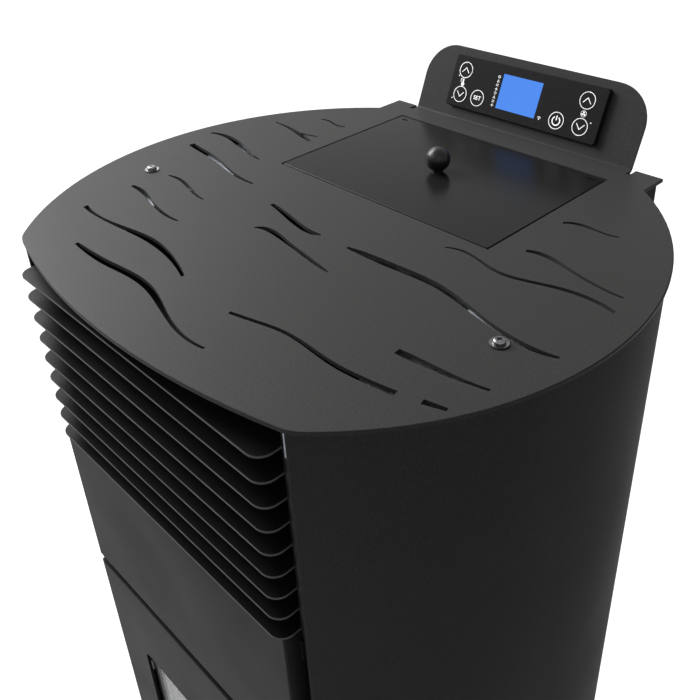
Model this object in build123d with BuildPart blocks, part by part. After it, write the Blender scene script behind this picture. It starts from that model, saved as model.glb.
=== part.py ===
"""Pellet stove with a round top, a leaning control panel and nine front louvre fins.

Millimetres. +Z is up, -Y is the front, and z = 0 is the floor under the levelling feet.
x = 0 is the plane of symmetry. y = 0 is half way between the door handle and the flue spigot's end.
"""

from build123d import *
from math import cos, hypot, radians, sin, sqrt, tan
import os

os.makedirs("parts", exist_ok=True)

# ---------------------------------------------------------------- driving sizes
top_z = 930.0  # upper face of the top plate
plate_t = 3.0
sheet = 2.0  # casing sheet
touch = 0.3  # gap to a soft piece or under a sliding one
run_gap = 0.05  # radial clearance of a turning shaft

plate_r = 253.0  # round part of the top plate
plate_cy = -22.0
front_cut = 39.0  # how much the front arc takes off the round part
front_arc_r = 620.0
plate_corner_r = 30.0
tail_half = 153.0  # the straight-sided tail behind the round part
tail_depth = 30.5

side_inset = 2.5  # the plate's overhang beyond the side panels
casing_inset = 3.0  # the same over the rear casing

foot_h = 24.0
base_t = 3.0

face_set = 12.0  # from the plate's foremost point back to the face of the door and the front panels
face_half = 150.0
face_return = 14.0  # how far the folded edges of the front panels go back
face_gap = 8.0  # shadow gap between the front panels
face_edge_r = 1.6
door_depth = 20.0  # from the door's face to the firebox's flange
side_edge_set = 10.5  # from the door's face to the front edge of the side panels

post_gap = 2.5  # between a front panel and the post beside it
post_t = 2.5
post_set = 15.0  # from the door's face to the front of the posts
post_depth = 21.0

fin_count = 9
fin_pitch = 20.0
fin_first = 21.0  # top plate's upper face to the first fin's
fin_t = 2.0
fin_half = 152.0
fin_proud = 4.0  # in front of the door's face
fin_depth = 60.0
fin_corner = 11.0

panel_height = 159.2  # upper front panel
door_height = 346.0
drawer_height = 96.0

lid_half = 118.0
lid_front = 18.0
lid_depth = 158.5
lid_gap = 1.5
lid_rear_gap = 2.2
knob_r = 11.0

bracket_half = 124.0
bracket_height = 71.0
bracket_corner_r = 34.0
bracket_inset = 2.0  # its bend stands this far in from the tail's rear edge
bracket_bend_r = 4.0
bracket_lean = 22.0

housing_w = 172.0
housing_h = 51.0
housing_proud = 5.0
housing_v = 38.0  # its middle, measured up the bracket
lcd_w = 45.0
lcd_h = 33.0
lcd_x = -3.5
key_r = 8.2
key_travel = 0.5
key_clearance = 0.12

# ---------------------------------------------------------------- sizes worked out
plate_under = top_z - plate_t
front_reach = plate_cy - plate_r + front_cut
tail_rear = plate_cy + sqrt(plate_r**2 - tail_half**2) + tail_depth
bracket_bend_y = tail_rear - bracket_inset
face_y = front_reach + face_set
fin_front = face_y - fin_proud
post_front = face_y + post_set
casing_half = tail_half - casing_inset
casing_rear = tail_rear - casing_inset
side_r = plate_r - side_inset
side_edge_y = face_y + side_edge_set
side_join_y = plate_cy + sqrt(side_r**2 - casing_half**2)
side_top = plate_under - 1.0
base_top = foot_h + base_t
panel_top = top_z - fin_first - fin_pitch * (fin_count - 1) - fin_t - touch
panel_bottom = panel_top - panel_height
door_top = panel_bottom - face_gap
door_bottom = door_top - door_height
drawer_top = door_bottom - face_gap
drawer_bottom = drawer_top - drawer_height
kick_top = drawer_bottom - face_gap
return_y = face_y + face_return + sheet
post_x = face_half + post_gap
lid_rear = lid_front + lid_depth


def block(x0, x1, y0, y1, z0, z1, mode=Mode.ADD):
    """A box between two corners."""
    with Locations(((x0 + x1) / 2, (y0 + y1) / 2, (z0 + z1) / 2)):
        Box(x1 - x0, y1 - y0, z1 - z0, mode=mode)


def pair(x0, x1, y0, y1, z0, z1, mode=Mode.ADD):
    """A box and its twin on the other side of x = 0."""
    block(x0, x1, y0, y1, z0, z1, mode)
    block(-x1, -x0, y0, y1, z0, z1, mode)


def rod(point, axis, radius, length, mode=Mode.ADD):
    """A cylinder that starts at point and runs along axis."""
    with Locations(Plane(origin=point, z_dir=axis)):
        Cylinder(radius, length, align=(Align.CENTER, Align.CENTER, Align.MIN), mode=mode)


def tray(half, z0, z1, mode=Mode.ADD):
    """A front panel: a flat face with its four edges folded back."""
    block(-half, half, face_y, return_y, z0, z1, mode)


def tray_edges(part):
    """The outer edges of a tray's front face."""
    return part.faces().sort_by(Axis.Y)[0].edges()


def body_outline(radius, front, rear, half):
    """The body in plan: round sides, a flat front and a square rear."""
    with Locations((0, plate_cy)):
        Circle(radius)
    with Locations((0, (plate_cy + rear) / 2)):
        Rectangle(2 * half, rear - plate_cy)
    with Locations((0, front - radius / 2), (0, rear + radius / 2)):
        Rectangle(4 * radius, radius, mode=Mode.SUBTRACT)


# ---------------------------------------------------------------- top plate
opening_half = lid_half + lid_gap
opening_front = lid_front - lid_gap
opening_rear = lid_rear + lid_rear_gap
hinge_y = lid_rear - 9.0
hinge_z = plate_under - 3.5
hinge_pin_r = 2.0
lid_ear_x = 113.0
lid_ear_t = 3.0
tab_x = opening_half + 1.5
tab_t = 3.0
notch_w = 4.0
notch_depth = 9.0
screw_x = 198.0
screw_y = -71.5
screw_r = 3.0
screw_flange_r = 6.4
screw_flange_t = 1.0
screw_head_r = 4.3
screw_head_h = 2.8
cross_w = 1.0
cross_depth = 1.6
plate_edge_r = 0.7

# Each wave slot: the points of its middle line with its width there. Both ends are cut square.
wave_slots = [
    [(-122, -188, 3), (-103, -188.5, 5), (-76, -187.5, 6.5), (-43, -184, 6.5), (-18, -186, 6), (10, -194, 4),
     (32, -200, 3), (67, -200.5, 2.2)],
    [(-176.5, -150.5, 4.6), (-128, -151, 3.6), (-80, -146, 6.8), (-56, -148.5, 5.5), (-17.5, -159.5, 2.8)],
    [(-182, -102, 3), (-166, -102, 4.6), (-142, -108, 3), (-122, -112.5, 3), (-94, -113, 2)],
    [(-176, -68, 2), (-162, -66, 3.2), (-138, -71, 3), (-111, -76, 1.8)],
    [(-222, -11.5, 6), (-210, -13, 6.5), (-172, -18, 5.6), (-138, -26, 4), (-104, -28, 2.4)],
    [(-232, 19, 2.8), (-215, 23.5, 5), (-198, 22, 6.2), (-161, 12, 4.5), (-141.5, 9, 1.8)],
    [(-204.5, 80.5, 1.6), (-189, 80, 3), (-161.5, 75, 4.8), (-139.5, 69.5, 3.2)],
    [(-167, 75.5, 2.4), (-157.5, 77.5, 2.4), (-142.5, 82, 1.8)],
    [(-174, 116, 1.8), (-164, 118, 2.8), (-150, 115, 2.8), (-141, 118, 2)],
    [(-60, -42.5, 3.4), (-45, -45, 5), (-24, -50, 6), (-8.5, -53, 5.8), (1, -53.5, 5.4), (10.5, -51, 1.8)],
    [(-38, -78, 1.8), (-33, -74.5, 4.2), (-21, -73, 5.6), (-2, -76, 4), (16, -79, 3.4), (43, -83.5, 3.2),
     (56, -85, 1.6)],
    [(40, -51, 2.4), (57, -49.5, 6), (83, -48, 7.2), (126, -46.5, 6.2), (177, -58, 4.2), (199, -61.5, 4),
     (217, -62, 4.3), (233, -58.5, 2.2)],
    [(94, -2, 1.5), (103, 2, 2.3), (144, -4, 3.2), (182, 5, 3.8), (231, 6, 3.3)],
    [(141, 34, 3.6), (152, 37, 4.6), (179, 32, 3.1), (201, 27, 2.8), (226, 25, 1.9)],
    [(136, 88, 3), (147, 94, 3.8), (164, 94, 2.8), (180, 96, 1.8)],
    [(45.5, -165, 2.8), (62, -161, 3.1), (91, -154.5, 3.1), (138, -156, 4.2), (158, -154.5, 4.6),
     (184.5, -150, 5)],
    [(157, -120, 5.6), (179.5, -118, 5.5), (200, -115.5, 3.5), (222, -111, 2.3)],
    [(200.5, -145, 4.8), (215.5, -140.5, 2.8)],
]


def wave(points):
    """A slot with the width that each of its points gives."""
    last = len(points) - 1
    upper, lower = [], []
    for i, (x, y, width) in enumerate(points):
        before, after = points[max(i - 1, 0)], points[min(i + 1, last)]
        along = (after[0] - before[0], after[1] - before[1])
        length = hypot(*along)
        side = (-along[1] / length * width / 2, along[0] / length * width / 2)
        upper.append((x + side[0], y + side[1]))
        lower.append((x - side[0], y - side[1]))
    with BuildLine() as edge:
        curve = Line if last == 1 else Spline
        curve(*upper)
        curve(*lower)
        Line(upper[0], lower[0])
        Line(upper[-1], lower[-1])
    make_face(edge.edges())


lean_sin, lean_cos = sin(radians(bracket_lean)), cos(radians(bracket_lean))
panel_plane = Plane(
    origin=(0, bracket_bend_y - plate_t / 2 * lean_cos, plate_under + plate_t / 2 * (1 + lean_sin)),
    x_dir=(1, 0, 0),
    z_dir=(0, -lean_cos, lean_sin),
)

with BuildPart() as bracket_sheet:
    with BuildSketch(Plane.YZ):
        with BuildLine():
            FilletPolyline(
                (opening_rear + 1, plate_under + plate_t / 2),
                (bracket_bend_y, plate_under + plate_t / 2),
                (
                    bracket_bend_y + bracket_height * lean_sin,
                    plate_under + plate_t / 2 + bracket_height * lean_cos,
                ),
                radius=bracket_bend_r,
            )
        trace(line_width=plate_t)
    extrude(amount=bracket_half, both=True)
    corner_edges = bracket_sheet.edges().filter_by(Axis((0, 0, 0), panel_plane.z_dir))
    fillet(corner_edges.group_by(Axis.Z)[-1], radius=bracket_corner_r)

with BuildPart() as top_plate:
    with BuildSketch(Plane.XY.offset(plate_under)):
        with Locations((0, plate_cy)):
            Circle(plate_r)
        with Locations((0, front_reach + front_arc_r)):
            Circle(front_arc_r, mode=Mode.INTERSECT)
    extrude(amount=plate_t)
    fillet(top_plate.edges().filter_by(Axis.Z).sort_by(Axis.Y)[:2], radius=plate_corner_r)
    block(-plate_r, plate_r, tail_rear, plate_cy + plate_r + 1, plate_under, top_z, mode=Mode.SUBTRACT)
    block(-tail_half, tail_half, plate_cy, tail_rear, plate_under, top_z)
    fillet(top_plate.faces().sort_by(Axis.Z)[-1].edges(), radius=plate_edge_r)
    pair(
        0, bracket_half + notch_w, bracket_bend_y - notch_depth, tail_rear + 1,
        plate_under - 1, top_z + 1, mode=Mode.SUBTRACT,
    )
    add(bracket_sheet.part)
    block(
        -opening_half, opening_half, opening_front, opening_rear,
        plate_under - 1, top_z + 1, mode=Mode.SUBTRACT,
    )
    with BuildSketch(Plane.XY.offset(top_z)):
        for points in wave_slots:
            wave(points)
    extrude(amount=-plate_t - 1, mode=Mode.SUBTRACT)
    with Locations((screw_x, screw_y, top_z), (-screw_x, screw_y, top_z)):
        Cylinder(screw_r + 0.2, 3 * plate_t, mode=Mode.SUBTRACT)
    pair(tab_x, tab_x + tab_t, hinge_y - 7, hinge_y + 7, hinge_z - 6, plate_under)
    rod((-tab_x - tab_t - 1, hinge_y, hinge_z), (1, 0, 0), hinge_pin_r + run_gap, 2 * tab_x + 2 * tab_t + 2,
        mode=Mode.SUBTRACT)
top_plate.part.label = "top_plate"
export_step(top_plate.part, "parts/top_plate.step")

# ---------------------------------------------------------------- hopper lid
ear_mark = (7.0, 2.4, 0.8)
stud_r = 2.5
with BuildPart() as hopper_lid:
    block(-lid_half, lid_half, lid_front, lid_rear, plate_under, top_z)
    fillet(hopper_lid.edges().filter_by(Axis.Z), radius=2.0)
    fillet(hopper_lid.faces().sort_by(Axis.Z)[-1].edges(), radius=0.6)
    pair(lid_ear_x, lid_ear_x + lid_ear_t, hinge_y - 4.5, hinge_y + 4.5, hinge_z - 4.5, plate_under)
    rod((-lid_half, hinge_y, hinge_z), (1, 0, 0), hinge_pin_r, 2 * lid_half, mode=Mode.SUBTRACT)
    with Locations((0, (lid_front + lid_rear) / 2, top_z)):
        Cylinder(stud_r, 3 * plate_t, mode=Mode.SUBTRACT)
    with Locations((108, lid_rear - 6, top_z), (-108, lid_rear - 6, top_z)):
        Box(ear_mark[0], ear_mark[1], 2 * ear_mark[2], mode=Mode.SUBTRACT)
hopper_lid.part.label = "hopper_lid"
export_step(hopper_lid.part, "parts/hopper_lid.step")

knob_y = (lid_front + lid_rear) / 2
knob_neck = 1.5
with BuildPart() as lid_knob:
    with Locations((0, knob_y, top_z + knob_neck + knob_r - 0.8)):
        Sphere(knob_r)
    rod((0, knob_y, top_z), (0, 0, 1), 5.0, 6.0)
    rod((0, knob_y, top_z - plate_t - 5), (0, 0, 1), stud_r, 12.0)
    with BuildSketch(Plane.XY.offset(plate_under - 4)):
        with Locations((0, knob_y)):
            RegularPolygon(4.6, 6)
    extrude(amount=4)
lid_knob.part.label = "lid_knob"
export_step(lid_knob.part, "parts/lid_knob.step")

with BuildPart() as lid_hinge_pins:
    rod((lid_ear_x - 1, hinge_y, hinge_z), (1, 0, 0), hinge_pin_r, tab_x + tab_t - lid_ear_x + 2)
    mirror(about=Plane.YZ)
lid_hinge_pins.part.label = "lid_hinge_pins"
export_step(lid_hinge_pins.part, "parts/lid_hinge_pins.step")

with BuildPart() as top_screws:
    rod((screw_x, screw_y, top_z), (0, 0, 1), screw_flange_r, screw_flange_t)
    rod((screw_x, screw_y, top_z + screw_flange_t), (0, 0, 1), screw_head_r, screw_head_h)
    fillet(top_screws.edges().group_by(Axis.Z)[-1], radius=0.6 * screw_head_h)
    rod((screw_x, screw_y, top_z - 16), (0, 0, 1), screw_r, 16)
    with Locations((screw_x, screw_y, top_z + screw_flange_t + screw_head_h)):
        Box(screw_head_r, cross_w, 2 * cross_depth, mode=Mode.SUBTRACT)
        Box(cross_w, screw_head_r, 2 * cross_depth, mode=Mode.SUBTRACT)
    mirror(about=Plane.YZ)
top_screws.part.label = "top_screws"
export_step(top_screws.part, "parts/top_screws.step")

# ---------------------------------------------------------------- control panel
key_layout = {
    "key_up_left": (-71.0, 11.3),
    "key_down_left": (-71.0, -12.7),
    "key_set": (-49.5, -12.2),
    "key_power": (42.5, -12.8),
    "key_up_right": (67.5, 11.3),
    "key_down_right": (67.5, -12.7),
}
key_well = housing_proud - 1.0
key_cap_t = 2.2
lcd_t = 1.2
lcd_sunk = 0.3

with BuildPart(panel_plane) as control_housing:
    with Locations((0, housing_v, housing_proud / 2)):
        Box(housing_w, housing_h, housing_proud)
    fillet(control_housing.edges().filter_by(Axis((0, 0, 0), panel_plane.z_dir)), radius=3.0)
    fillet(control_housing.faces().sort_by(Axis((0, 0, 0), panel_plane.z_dir))[-1].edges(), radius=0.8)
    with Locations((lcd_x, housing_v, housing_proud)):
        Box(lcd_w, lcd_h, 2 * (lcd_t + lcd_sunk), mode=Mode.SUBTRACT)
    with Locations([(x, housing_v + v, housing_proud) for x, v in key_layout.values()]):
        Cylinder(key_r + key_clearance, 2 * key_well, mode=Mode.SUBTRACT)
control_housing.part.label = "control_housing"
export_step(control_housing.part, "parts/control_housing.step")

with BuildPart(panel_plane) as lcd_screen:
    with Locations((lcd_x, housing_v, housing_proud - lcd_sunk - lcd_t / 2)):
        Box(lcd_w, lcd_h, lcd_t)
lcd_screen.part.label = "lcd_screen"
export_step(lcd_screen.part, "parts/lcd_screen.step")

for key_name, (key_x, key_v) in key_layout.items():
    with BuildPart(panel_plane) as key:
        with Locations((key_x, housing_v + key_v, housing_proud - key_cap_t / 2)):
            Cylinder(key_r, key_cap_t)
        fillet(key.faces().sort_by(Axis((0, 0, 0), panel_plane.z_dir))[-1].edges(), radius=0.2)
        with Locations((key_x, housing_v + key_v, (housing_proud - key_well + key_travel) * 0.5
                        + (housing_proud - key_cap_t) * 0.5)):
            Cylinder(key_r * 0.5, key_well - key_cap_t - key_travel)
    key.part.label = key_name
    export_step(key.part, f"parts/{key_name}.step")

# ---------------------------------------------------------------- side panels and rear casing
with BuildPart() as right_side_panel:
    with BuildSketch(Plane.XY.offset(base_top)):
        with Locations((0, plate_cy)):
            Circle(side_r)
            Circle(side_r - sheet, mode=Mode.SUBTRACT)
        keep_depth = side_join_y - side_edge_y
        with Locations((casing_half - sheet * 2 + side_r / 2, (side_join_y + side_edge_y) / 2)):
            Rectangle(side_r, keep_depth, mode=Mode.INTERSECT)
    extrude(amount=side_top - base_top)
    fillet(right_side_panel.faces().sort_by(Axis.Y)[0].edges().filter_by(Axis.Z), radius=0.7)
right_side_panel.part.label = "right_side_panel"
export_step(right_side_panel.part, "parts/right_side_panel.step")

with BuildPart() as left_side_panel:
    add(mirror(right_side_panel.part, about=Plane.YZ, mode=Mode.PRIVATE))
left_side_panel.part.label = "left_side_panel"
export_step(left_side_panel.part, "parts/left_side_panel.step")

flue_r = 40.0
flue_wall = 3.0
pipe_step = 1.2  # the pipes are this much thinner inside the casing
flue_z = 122.0
flue_out = 45.0  # beyond the casing
flue_end = casing_rear + flue_out
intake_r = 25.0
intake_wall = 2.5
intake_x = 80.0
intake_z = 250.0
intake_out = 34.0
intake_end = casing_rear + intake_out
inlet_x = -105.0
inlet_z = 95.0
inlet_w = 30.0
inlet_h = 58.0
vent_w = 58.0
vent_h = 4.0
vent_pitch = 12.0
vent_low_z = 420.0
vent_high_z = 760.0
vent_column = 85.0

with BuildPart() as rear_casing:
    block(-casing_half, casing_half, side_join_y, casing_rear, base_top, plate_under)
    block(
        -casing_half + sheet, casing_half - sheet, side_join_y - 1, casing_rear - sheet,
        base_top - 1, plate_under - sheet, mode=Mode.SUBTRACT,
    )
    block(
        -casing_half + sheet, casing_half - sheet, side_join_y - 1, opening_rear + 4,
        plate_under - 2 * sheet, plate_under + 1, mode=Mode.SUBTRACT,
    )
    rod((0, casing_rear - 9, flue_z), (0, 1, 0), flue_r + 1.5, 18, mode=Mode.SUBTRACT)
    rod((intake_x, casing_rear - 9, intake_z), (0, 1, 0), intake_r + 1.5, 18, mode=Mode.SUBTRACT)
    block(
        inlet_x - inlet_w / 2 + 3, inlet_x + inlet_w / 2 - 3, casing_rear - 9, casing_rear + 9,
        inlet_z - inlet_h / 2 + 3, inlet_z + inlet_h / 2 - 3, mode=Mode.SUBTRACT,
    )
    with BuildSketch(Plane.XZ.offset(-casing_rear)):
        with Locations((0, vent_low_z), (0, vent_high_z)):
            with GridLocations(vent_column, vent_pitch, 3, 9):
                SlotOverall(vent_w, vent_h)
    extrude(amount=2 * sheet, both=True, mode=Mode.SUBTRACT)
    fillet(rear_casing.edges().filter_by(Axis.Z).group_by(Axis.Y)[-1], radius=1.5)
rear_casing.part.label = "rear_casing"
export_step(rear_casing.part, "parts/rear_casing.step")

# ---------------------------------------------------------------- base and feet
foot_places = [(150, -114), (-150, -114), (125, 140), (-125, 140)]
foot_stem_r = 5.0
with BuildPart() as base_plate:
    with BuildSketch(Plane.XY.offset(foot_h)):
        body_outline(side_r, face_y, casing_rear, casing_half)
    extrude(amount=base_t)
    with Locations([(x, y, foot_h) for x, y in foot_places]):
        Cylinder(foot_stem_r, 4 * base_t, mode=Mode.SUBTRACT)
base_plate.part.label = "base_plate"
export_step(base_plate.part, "parts/base_plate.step")

with BuildPart() as levelling_feet:
    for foot_x, foot_y in foot_places:
        with Locations((foot_x, foot_y, 0)):
            Cone(22, 16, 9, align=(Align.CENTER, Align.CENTER, Align.MIN))
        rod((foot_x, foot_y, 0), (0, 0, 1), foot_stem_r, foot_h + 20)
        with BuildSketch(Plane.XY.offset(foot_h - 6)):
            with Locations((foot_x, foot_y)):
                RegularPolygon(9.5, 6)
        extrude(amount=6)
levelling_feet.part.label = "levelling_feet"
export_step(levelling_feet.part, "parts/levelling_feet.step")

# ---------------------------------------------------------------- inner frame
upright_x = 171.0
upright_w = 20.0
upright_front = -150.0
upright_rear = 85.0
rail_w = 36.0
rail_lip = 20.0  # the rail's thin lip, towards the middle
rail_z = 902.0
rail_top = 920.0
beam_z = 216.0
beam_h = 20.0
bar_rear = -66.0
tray_half = 130.0  # the ash drawer's bin
runner_inner = tray_half - 12
runner_outer = tray_half + touch
tray_bottom = drawer_bottom + 4.0
runner_top = tray_bottom - touch
runner_rear = -70.0
board_z = 300.0
board_h = 150.0

with BuildPart() as inner_frame:
    for y0 in (upright_front, upright_rear):
        pair(upright_x, upright_x + upright_w, y0, y0 + upright_w, base_top, rail_z)
    pair(upright_x, upright_x + rail_w, upright_front, upright_rear + upright_w, rail_z, rail_top)
    pair(
        upright_x - rail_lip, upright_x, upright_front, upright_rear + upright_w,
        rail_top - sheet, rail_top,
    )
    with Locations((screw_x, screw_y, rail_top), (-screw_x, screw_y, rail_top)):
        Cylinder(9.0, plate_under - rail_top, align=(Align.CENTER, Align.CENTER, Align.MIN))
    with Locations((screw_x, screw_y, rail_top), (-screw_x, screw_y, rail_top)):
        Cylinder(screw_r, 4 * (plate_under - rail_top), mode=Mode.SUBTRACT)
    # front posts beside the door, tied back to the uprights at the top, the beams and the base
    pair(post_x, post_x + post_t, post_front, post_front + post_depth, base_top, rail_top)
    for z0 in (base_top, beam_z, rail_z):
        pair(post_x, upright_x, upright_front, upright_front + upright_w, z0, z0 + rail_top - rail_z)
        pair(post_x, post_x + post_t, post_front, upright_front + 1, z0, z0 + rail_top - rail_z)
    # beams under the firebox
    pair(upright_x, upright_x + upright_w, upright_front + upright_w, upright_rear, beam_z, beam_z + beam_h)
    block(-upright_x, upright_x, upright_front, upright_front + upright_w, beam_z, beam_z + beam_h)
    block(-upright_x, upright_x, bar_rear, bar_rear + upright_w, beam_z, beam_z + beam_h)
    # drawer runners
    pair(runner_inner, runner_outer + 2, post_front + 6, runner_rear, runner_top - 2, runner_top)
    pair(runner_outer, runner_outer + 2, post_front + 6, runner_rear, runner_top, runner_top + 18)
    pair(
        runner_outer + 2, upright_x, upright_front, upright_front + upright_w,
        runner_top - 2, runner_top + 8,
    )
    # plate that carries the control board
    block(
        upright_x, upright_x + sheet, upright_front + upright_w, upright_rear, board_z, board_z + board_h,
    )
inner_frame.part.label = "inner_frame"
export_step(inner_frame.part, "parts/inner_frame.step")

# ---------------------------------------------------------------- louvres
cheek_front = post_front
louvre_rear = fin_front + fin_depth
with BuildPart() as louvre_frame:
    cheek_bottom = panel_top - 10
    pair(post_x - 2, post_x, cheek_front, louvre_rear + sheet, cheek_bottom, side_top - 1)
    pair(118, post_x - 2, louvre_rear, louvre_rear + sheet, cheek_bottom, side_top - 1)
    block(-118, 118, louvre_rear, louvre_rear + sheet, cheek_bottom, panel_top + 2)
louvre_frame.part.label = "louvre_frame"
export_step(louvre_frame.part, "parts/louvre_frame.step")

for number in range(1, fin_count + 1):
    fin_top = top_z - fin_first - fin_pitch * (number - 1)
    with BuildPart() as louvre_fin:
        with BuildSketch(Plane.XY.offset(fin_top - fin_t)) as fin_plan:
            wing_depth = cheek_front - 1 - fin_front
            with Locations((0, fin_front + wing_depth / 2)):
                Rectangle(2 * fin_half, wing_depth)
            fillet(fin_plan.vertices().group_by(Axis.Y)[0], radius=fin_corner)
            with Locations((0, (fin_front + 12 + louvre_rear) / 2)):
                Rectangle(2 * (post_x - 2), louvre_rear - fin_front - 12)
        extrude(amount=fin_t)
        fillet(louvre_fin.faces().sort_by(Axis.Y)[0].edges().filter_by(Axis.X), radius=0.5)
    louvre_fin.part.label = f"louvre_fin_{number}"
    export_step(louvre_fin.part, f"parts/louvre_fin_{number}.step")

# ---------------------------------------------------------------- fixed front panels
panel_tab_rear = post_front + 6


def front_panel(part, z0, z1):
    """Hollows a tray and adds the tabs that hold it to the posts."""
    fillet(tray_edges(part), radius=face_edge_r)
    block(
        -face_half + sheet, face_half - sheet, face_y + sheet, return_y + 1, z0 + sheet, z1 - sheet,
        mode=Mode.SUBTRACT,
    )
    for z in (z0 + 12, z1 - 32):
        pair(face_half - sheet, post_x, return_y - 3, panel_tab_rear, z, z + 20)


with BuildPart() as upper_front_panel:
    tray(face_half, panel_bottom, panel_top)
    front_panel(upper_front_panel, panel_bottom, panel_top)
upper_front_panel.part.label = "upper_front_panel"
export_step(upper_front_panel.part, "parts/upper_front_panel.step")

with BuildPart() as lower_front_panel:
    tray(face_half, base_top, kick_top)
    front_panel(lower_front_panel, base_top, kick_top)
lower_front_panel.part.label = "lower_front_panel"
export_step(lower_front_panel.part, "parts/lower_front_panel.step")

# ---------------------------------------------------------------- firebox
box_half = 112.0
box_front = face_y + door_depth
flange_t = 3.0
box_wall = 4.0
box_rear = -38.0
box_bottom = beam_z + beam_h
box_top = 604.0
mouth_half = 98.0
mouth_bottom = box_bottom + 22
mouth_top = door_top - 27
flange_half = face_half - 2
pot_y = -120.0
pot_w = 80.0
hinge_x = -face_half + 6
door_axis_y = face_y + 7
door_pin_r = 3.0
hinge_plate_t = 4.0
handle_x = face_half - 20
handle_z = (door_top + door_bottom) / 2
latch_half = 12.0
latch_tall = 24.0
chute_r = 25.0
chute_wall_z = 512.0
igniter_r = 5.0
igniter_z = 266.0

with BuildPart() as firebox:
    block(-box_half, box_half, box_front, box_rear, box_bottom, box_top)
    block(
        -box_half + box_wall, box_half - box_wall, box_front - 1, box_rear - box_wall,
        box_bottom + box_wall, box_top - box_wall, mode=Mode.SUBTRACT,
    )
    block(-flange_half, flange_half, box_front, box_front + flange_t, door_bottom - 3, door_top + 6)
    block(
        -mouth_half, mouth_half, box_front - 1, box_front + flange_t + 1, mouth_bottom, mouth_top,
        mode=Mode.SUBTRACT,
    )
    block(
        handle_x - latch_half, handle_x + latch_half, box_front - 1, box_front + flange_t + 1,
        handle_z - latch_tall, handle_z + latch_tall, mode=Mode.SUBTRACT,
    )
    block(-pot_w / 2 - 2, pot_w / 2 + 2, pot_y - pot_w / 2 - 2, pot_y + pot_w / 2 + 2,
          box_bottom - 1, box_bottom + box_wall + 1, mode=Mode.SUBTRACT)
    # openings in the rear wall: pellet chute, igniter and combustion air; and in the roof
    block(
        -chute_r + 3, chute_r - 3, box_rear - 2 * box_wall, box_rear + 1,
        chute_wall_z - 31, chute_wall_z + 31, mode=Mode.SUBTRACT,
    )
    rod((0, box_rear - 2 * box_wall, igniter_z), (0, 1, 0), igniter_r, 3 * box_wall, mode=Mode.SUBTRACT)
    rod((intake_x, box_rear - 2 * box_wall, intake_z + 16), (0, 1, 0), 8, 3 * box_wall, mode=Mode.SUBTRACT)
    block(-60, 60, -140, -60, box_top - 2 * box_wall, box_top + 1, mode=Mode.SUBTRACT)
    # hinge plates for the door
    for z0 in (door_bottom - 6, door_top + 2):
        block(-flange_half - 2, hinge_x + 12, face_y + 2, box_front, z0, z0 + hinge_plate_t)
    rod((hinge_x, door_axis_y, door_bottom - 10), (0, 0, 1), door_pin_r + run_gap, door_height + 20,
        mode=Mode.SUBTRACT)
firebox.part.label = "firebox"
export_step(firebox.part, "parts/firebox.step")

fireback_t = 8.0
rib_w = 7.0
rib_depth = 3.0
with BuildPart() as fireback:
    inner_rear = box_rear - box_wall
    block(-box_half + box_wall + 2, box_half - box_wall - 2, inner_rear - fireback_t, inner_rear,
          box_bottom + 60, box_top - box_wall - 4)
    rib_count = 9
    rib_step = 2 * (box_half - box_wall - 12) / (rib_count - 1)
    with Locations([
        ((i - (rib_count - 1) / 2) * rib_step, inner_rear - fireback_t - rib_depth / 2,
         (box_bottom + 70 + box_top - box_wall - 14) / 2) for i in range(rib_count)
    ]):
        Box(rib_w, rib_depth, box_top - box_wall - 14 - box_bottom - 70)
    block(-chute_r - 1, chute_r + 1, inner_rear - 3 * fireback_t, inner_rear + 1, chute_wall_z - 48,
          chute_wall_z + 34, mode=Mode.SUBTRACT)
fireback.part.label = "fireback"
export_step(fireback.part, "parts/fireback.step")

pot_wall = 4.0
holder_top = box_bottom + box_wall + 45
holder_half = 60.0
with BuildPart() as pot_holder:
    block(-holder_half, holder_half, pot_y - 55, pot_y + 55, box_bottom + box_wall, holder_top)
    block(-holder_half + 4, holder_half - 4, pot_y - 51, pot_y + 51, box_bottom + box_wall - 1,
          holder_top - 4, mode=Mode.SUBTRACT)
    block(-pot_w / 2 - 1, pot_w / 2 + 1, pot_y - pot_w / 2 - 1, pot_y + pot_w / 2 + 1, holder_top - 5,
          holder_top + 1, mode=Mode.SUBTRACT)
    rod((0, pot_y + 45, igniter_z), (0, 1, 0), igniter_r, 20, mode=Mode.SUBTRACT)
pot_holder.part.label = "pot_holder"
export_step(pot_holder.part, "parts/pot_holder.step")

pot_top = holder_top + 22
pot_bottom = holder_top - 36
with BuildPart() as burn_pot:
    block(-pot_w / 2, pot_w / 2, pot_y - pot_w / 2, pot_y + pot_w / 2, pot_bottom, pot_top)
    fillet(burn_pot.edges().filter_by(Axis.Z), radius=6)
    block(-pot_w / 2 - 7, pot_w / 2 + 7, pot_y - pot_w / 2 - 7, pot_y + pot_w / 2 + 7, holder_top,
          holder_top + pot_wall)
    block(-pot_w / 2 + pot_wall, pot_w / 2 - pot_wall, pot_y - pot_w / 2 + pot_wall,
          pot_y + pot_w / 2 - pot_wall, pot_bottom + pot_wall, pot_top + 1, mode=Mode.SUBTRACT)
    with Locations((0, pot_y, pot_bottom)):
        with GridLocations(14, 14, 5, 5):
            Cylinder(2.5, 4 * pot_wall, mode=Mode.SUBTRACT)
burn_pot.part.label = "burn_pot"
export_step(burn_pot.part, "parts/burn_pot.step")

with BuildPart() as igniter:
    rod((0, pot_y + pot_w / 2 + 4, igniter_z), (0, 1, 0), igniter_r, box_rear - pot_y - pot_w / 2 + 14)
    rod((0, box_rear, igniter_z), (0, 1, 0), 9, 22)
igniter.part.label = "igniter"
export_step(igniter.part, "parts/igniter.step")

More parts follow.
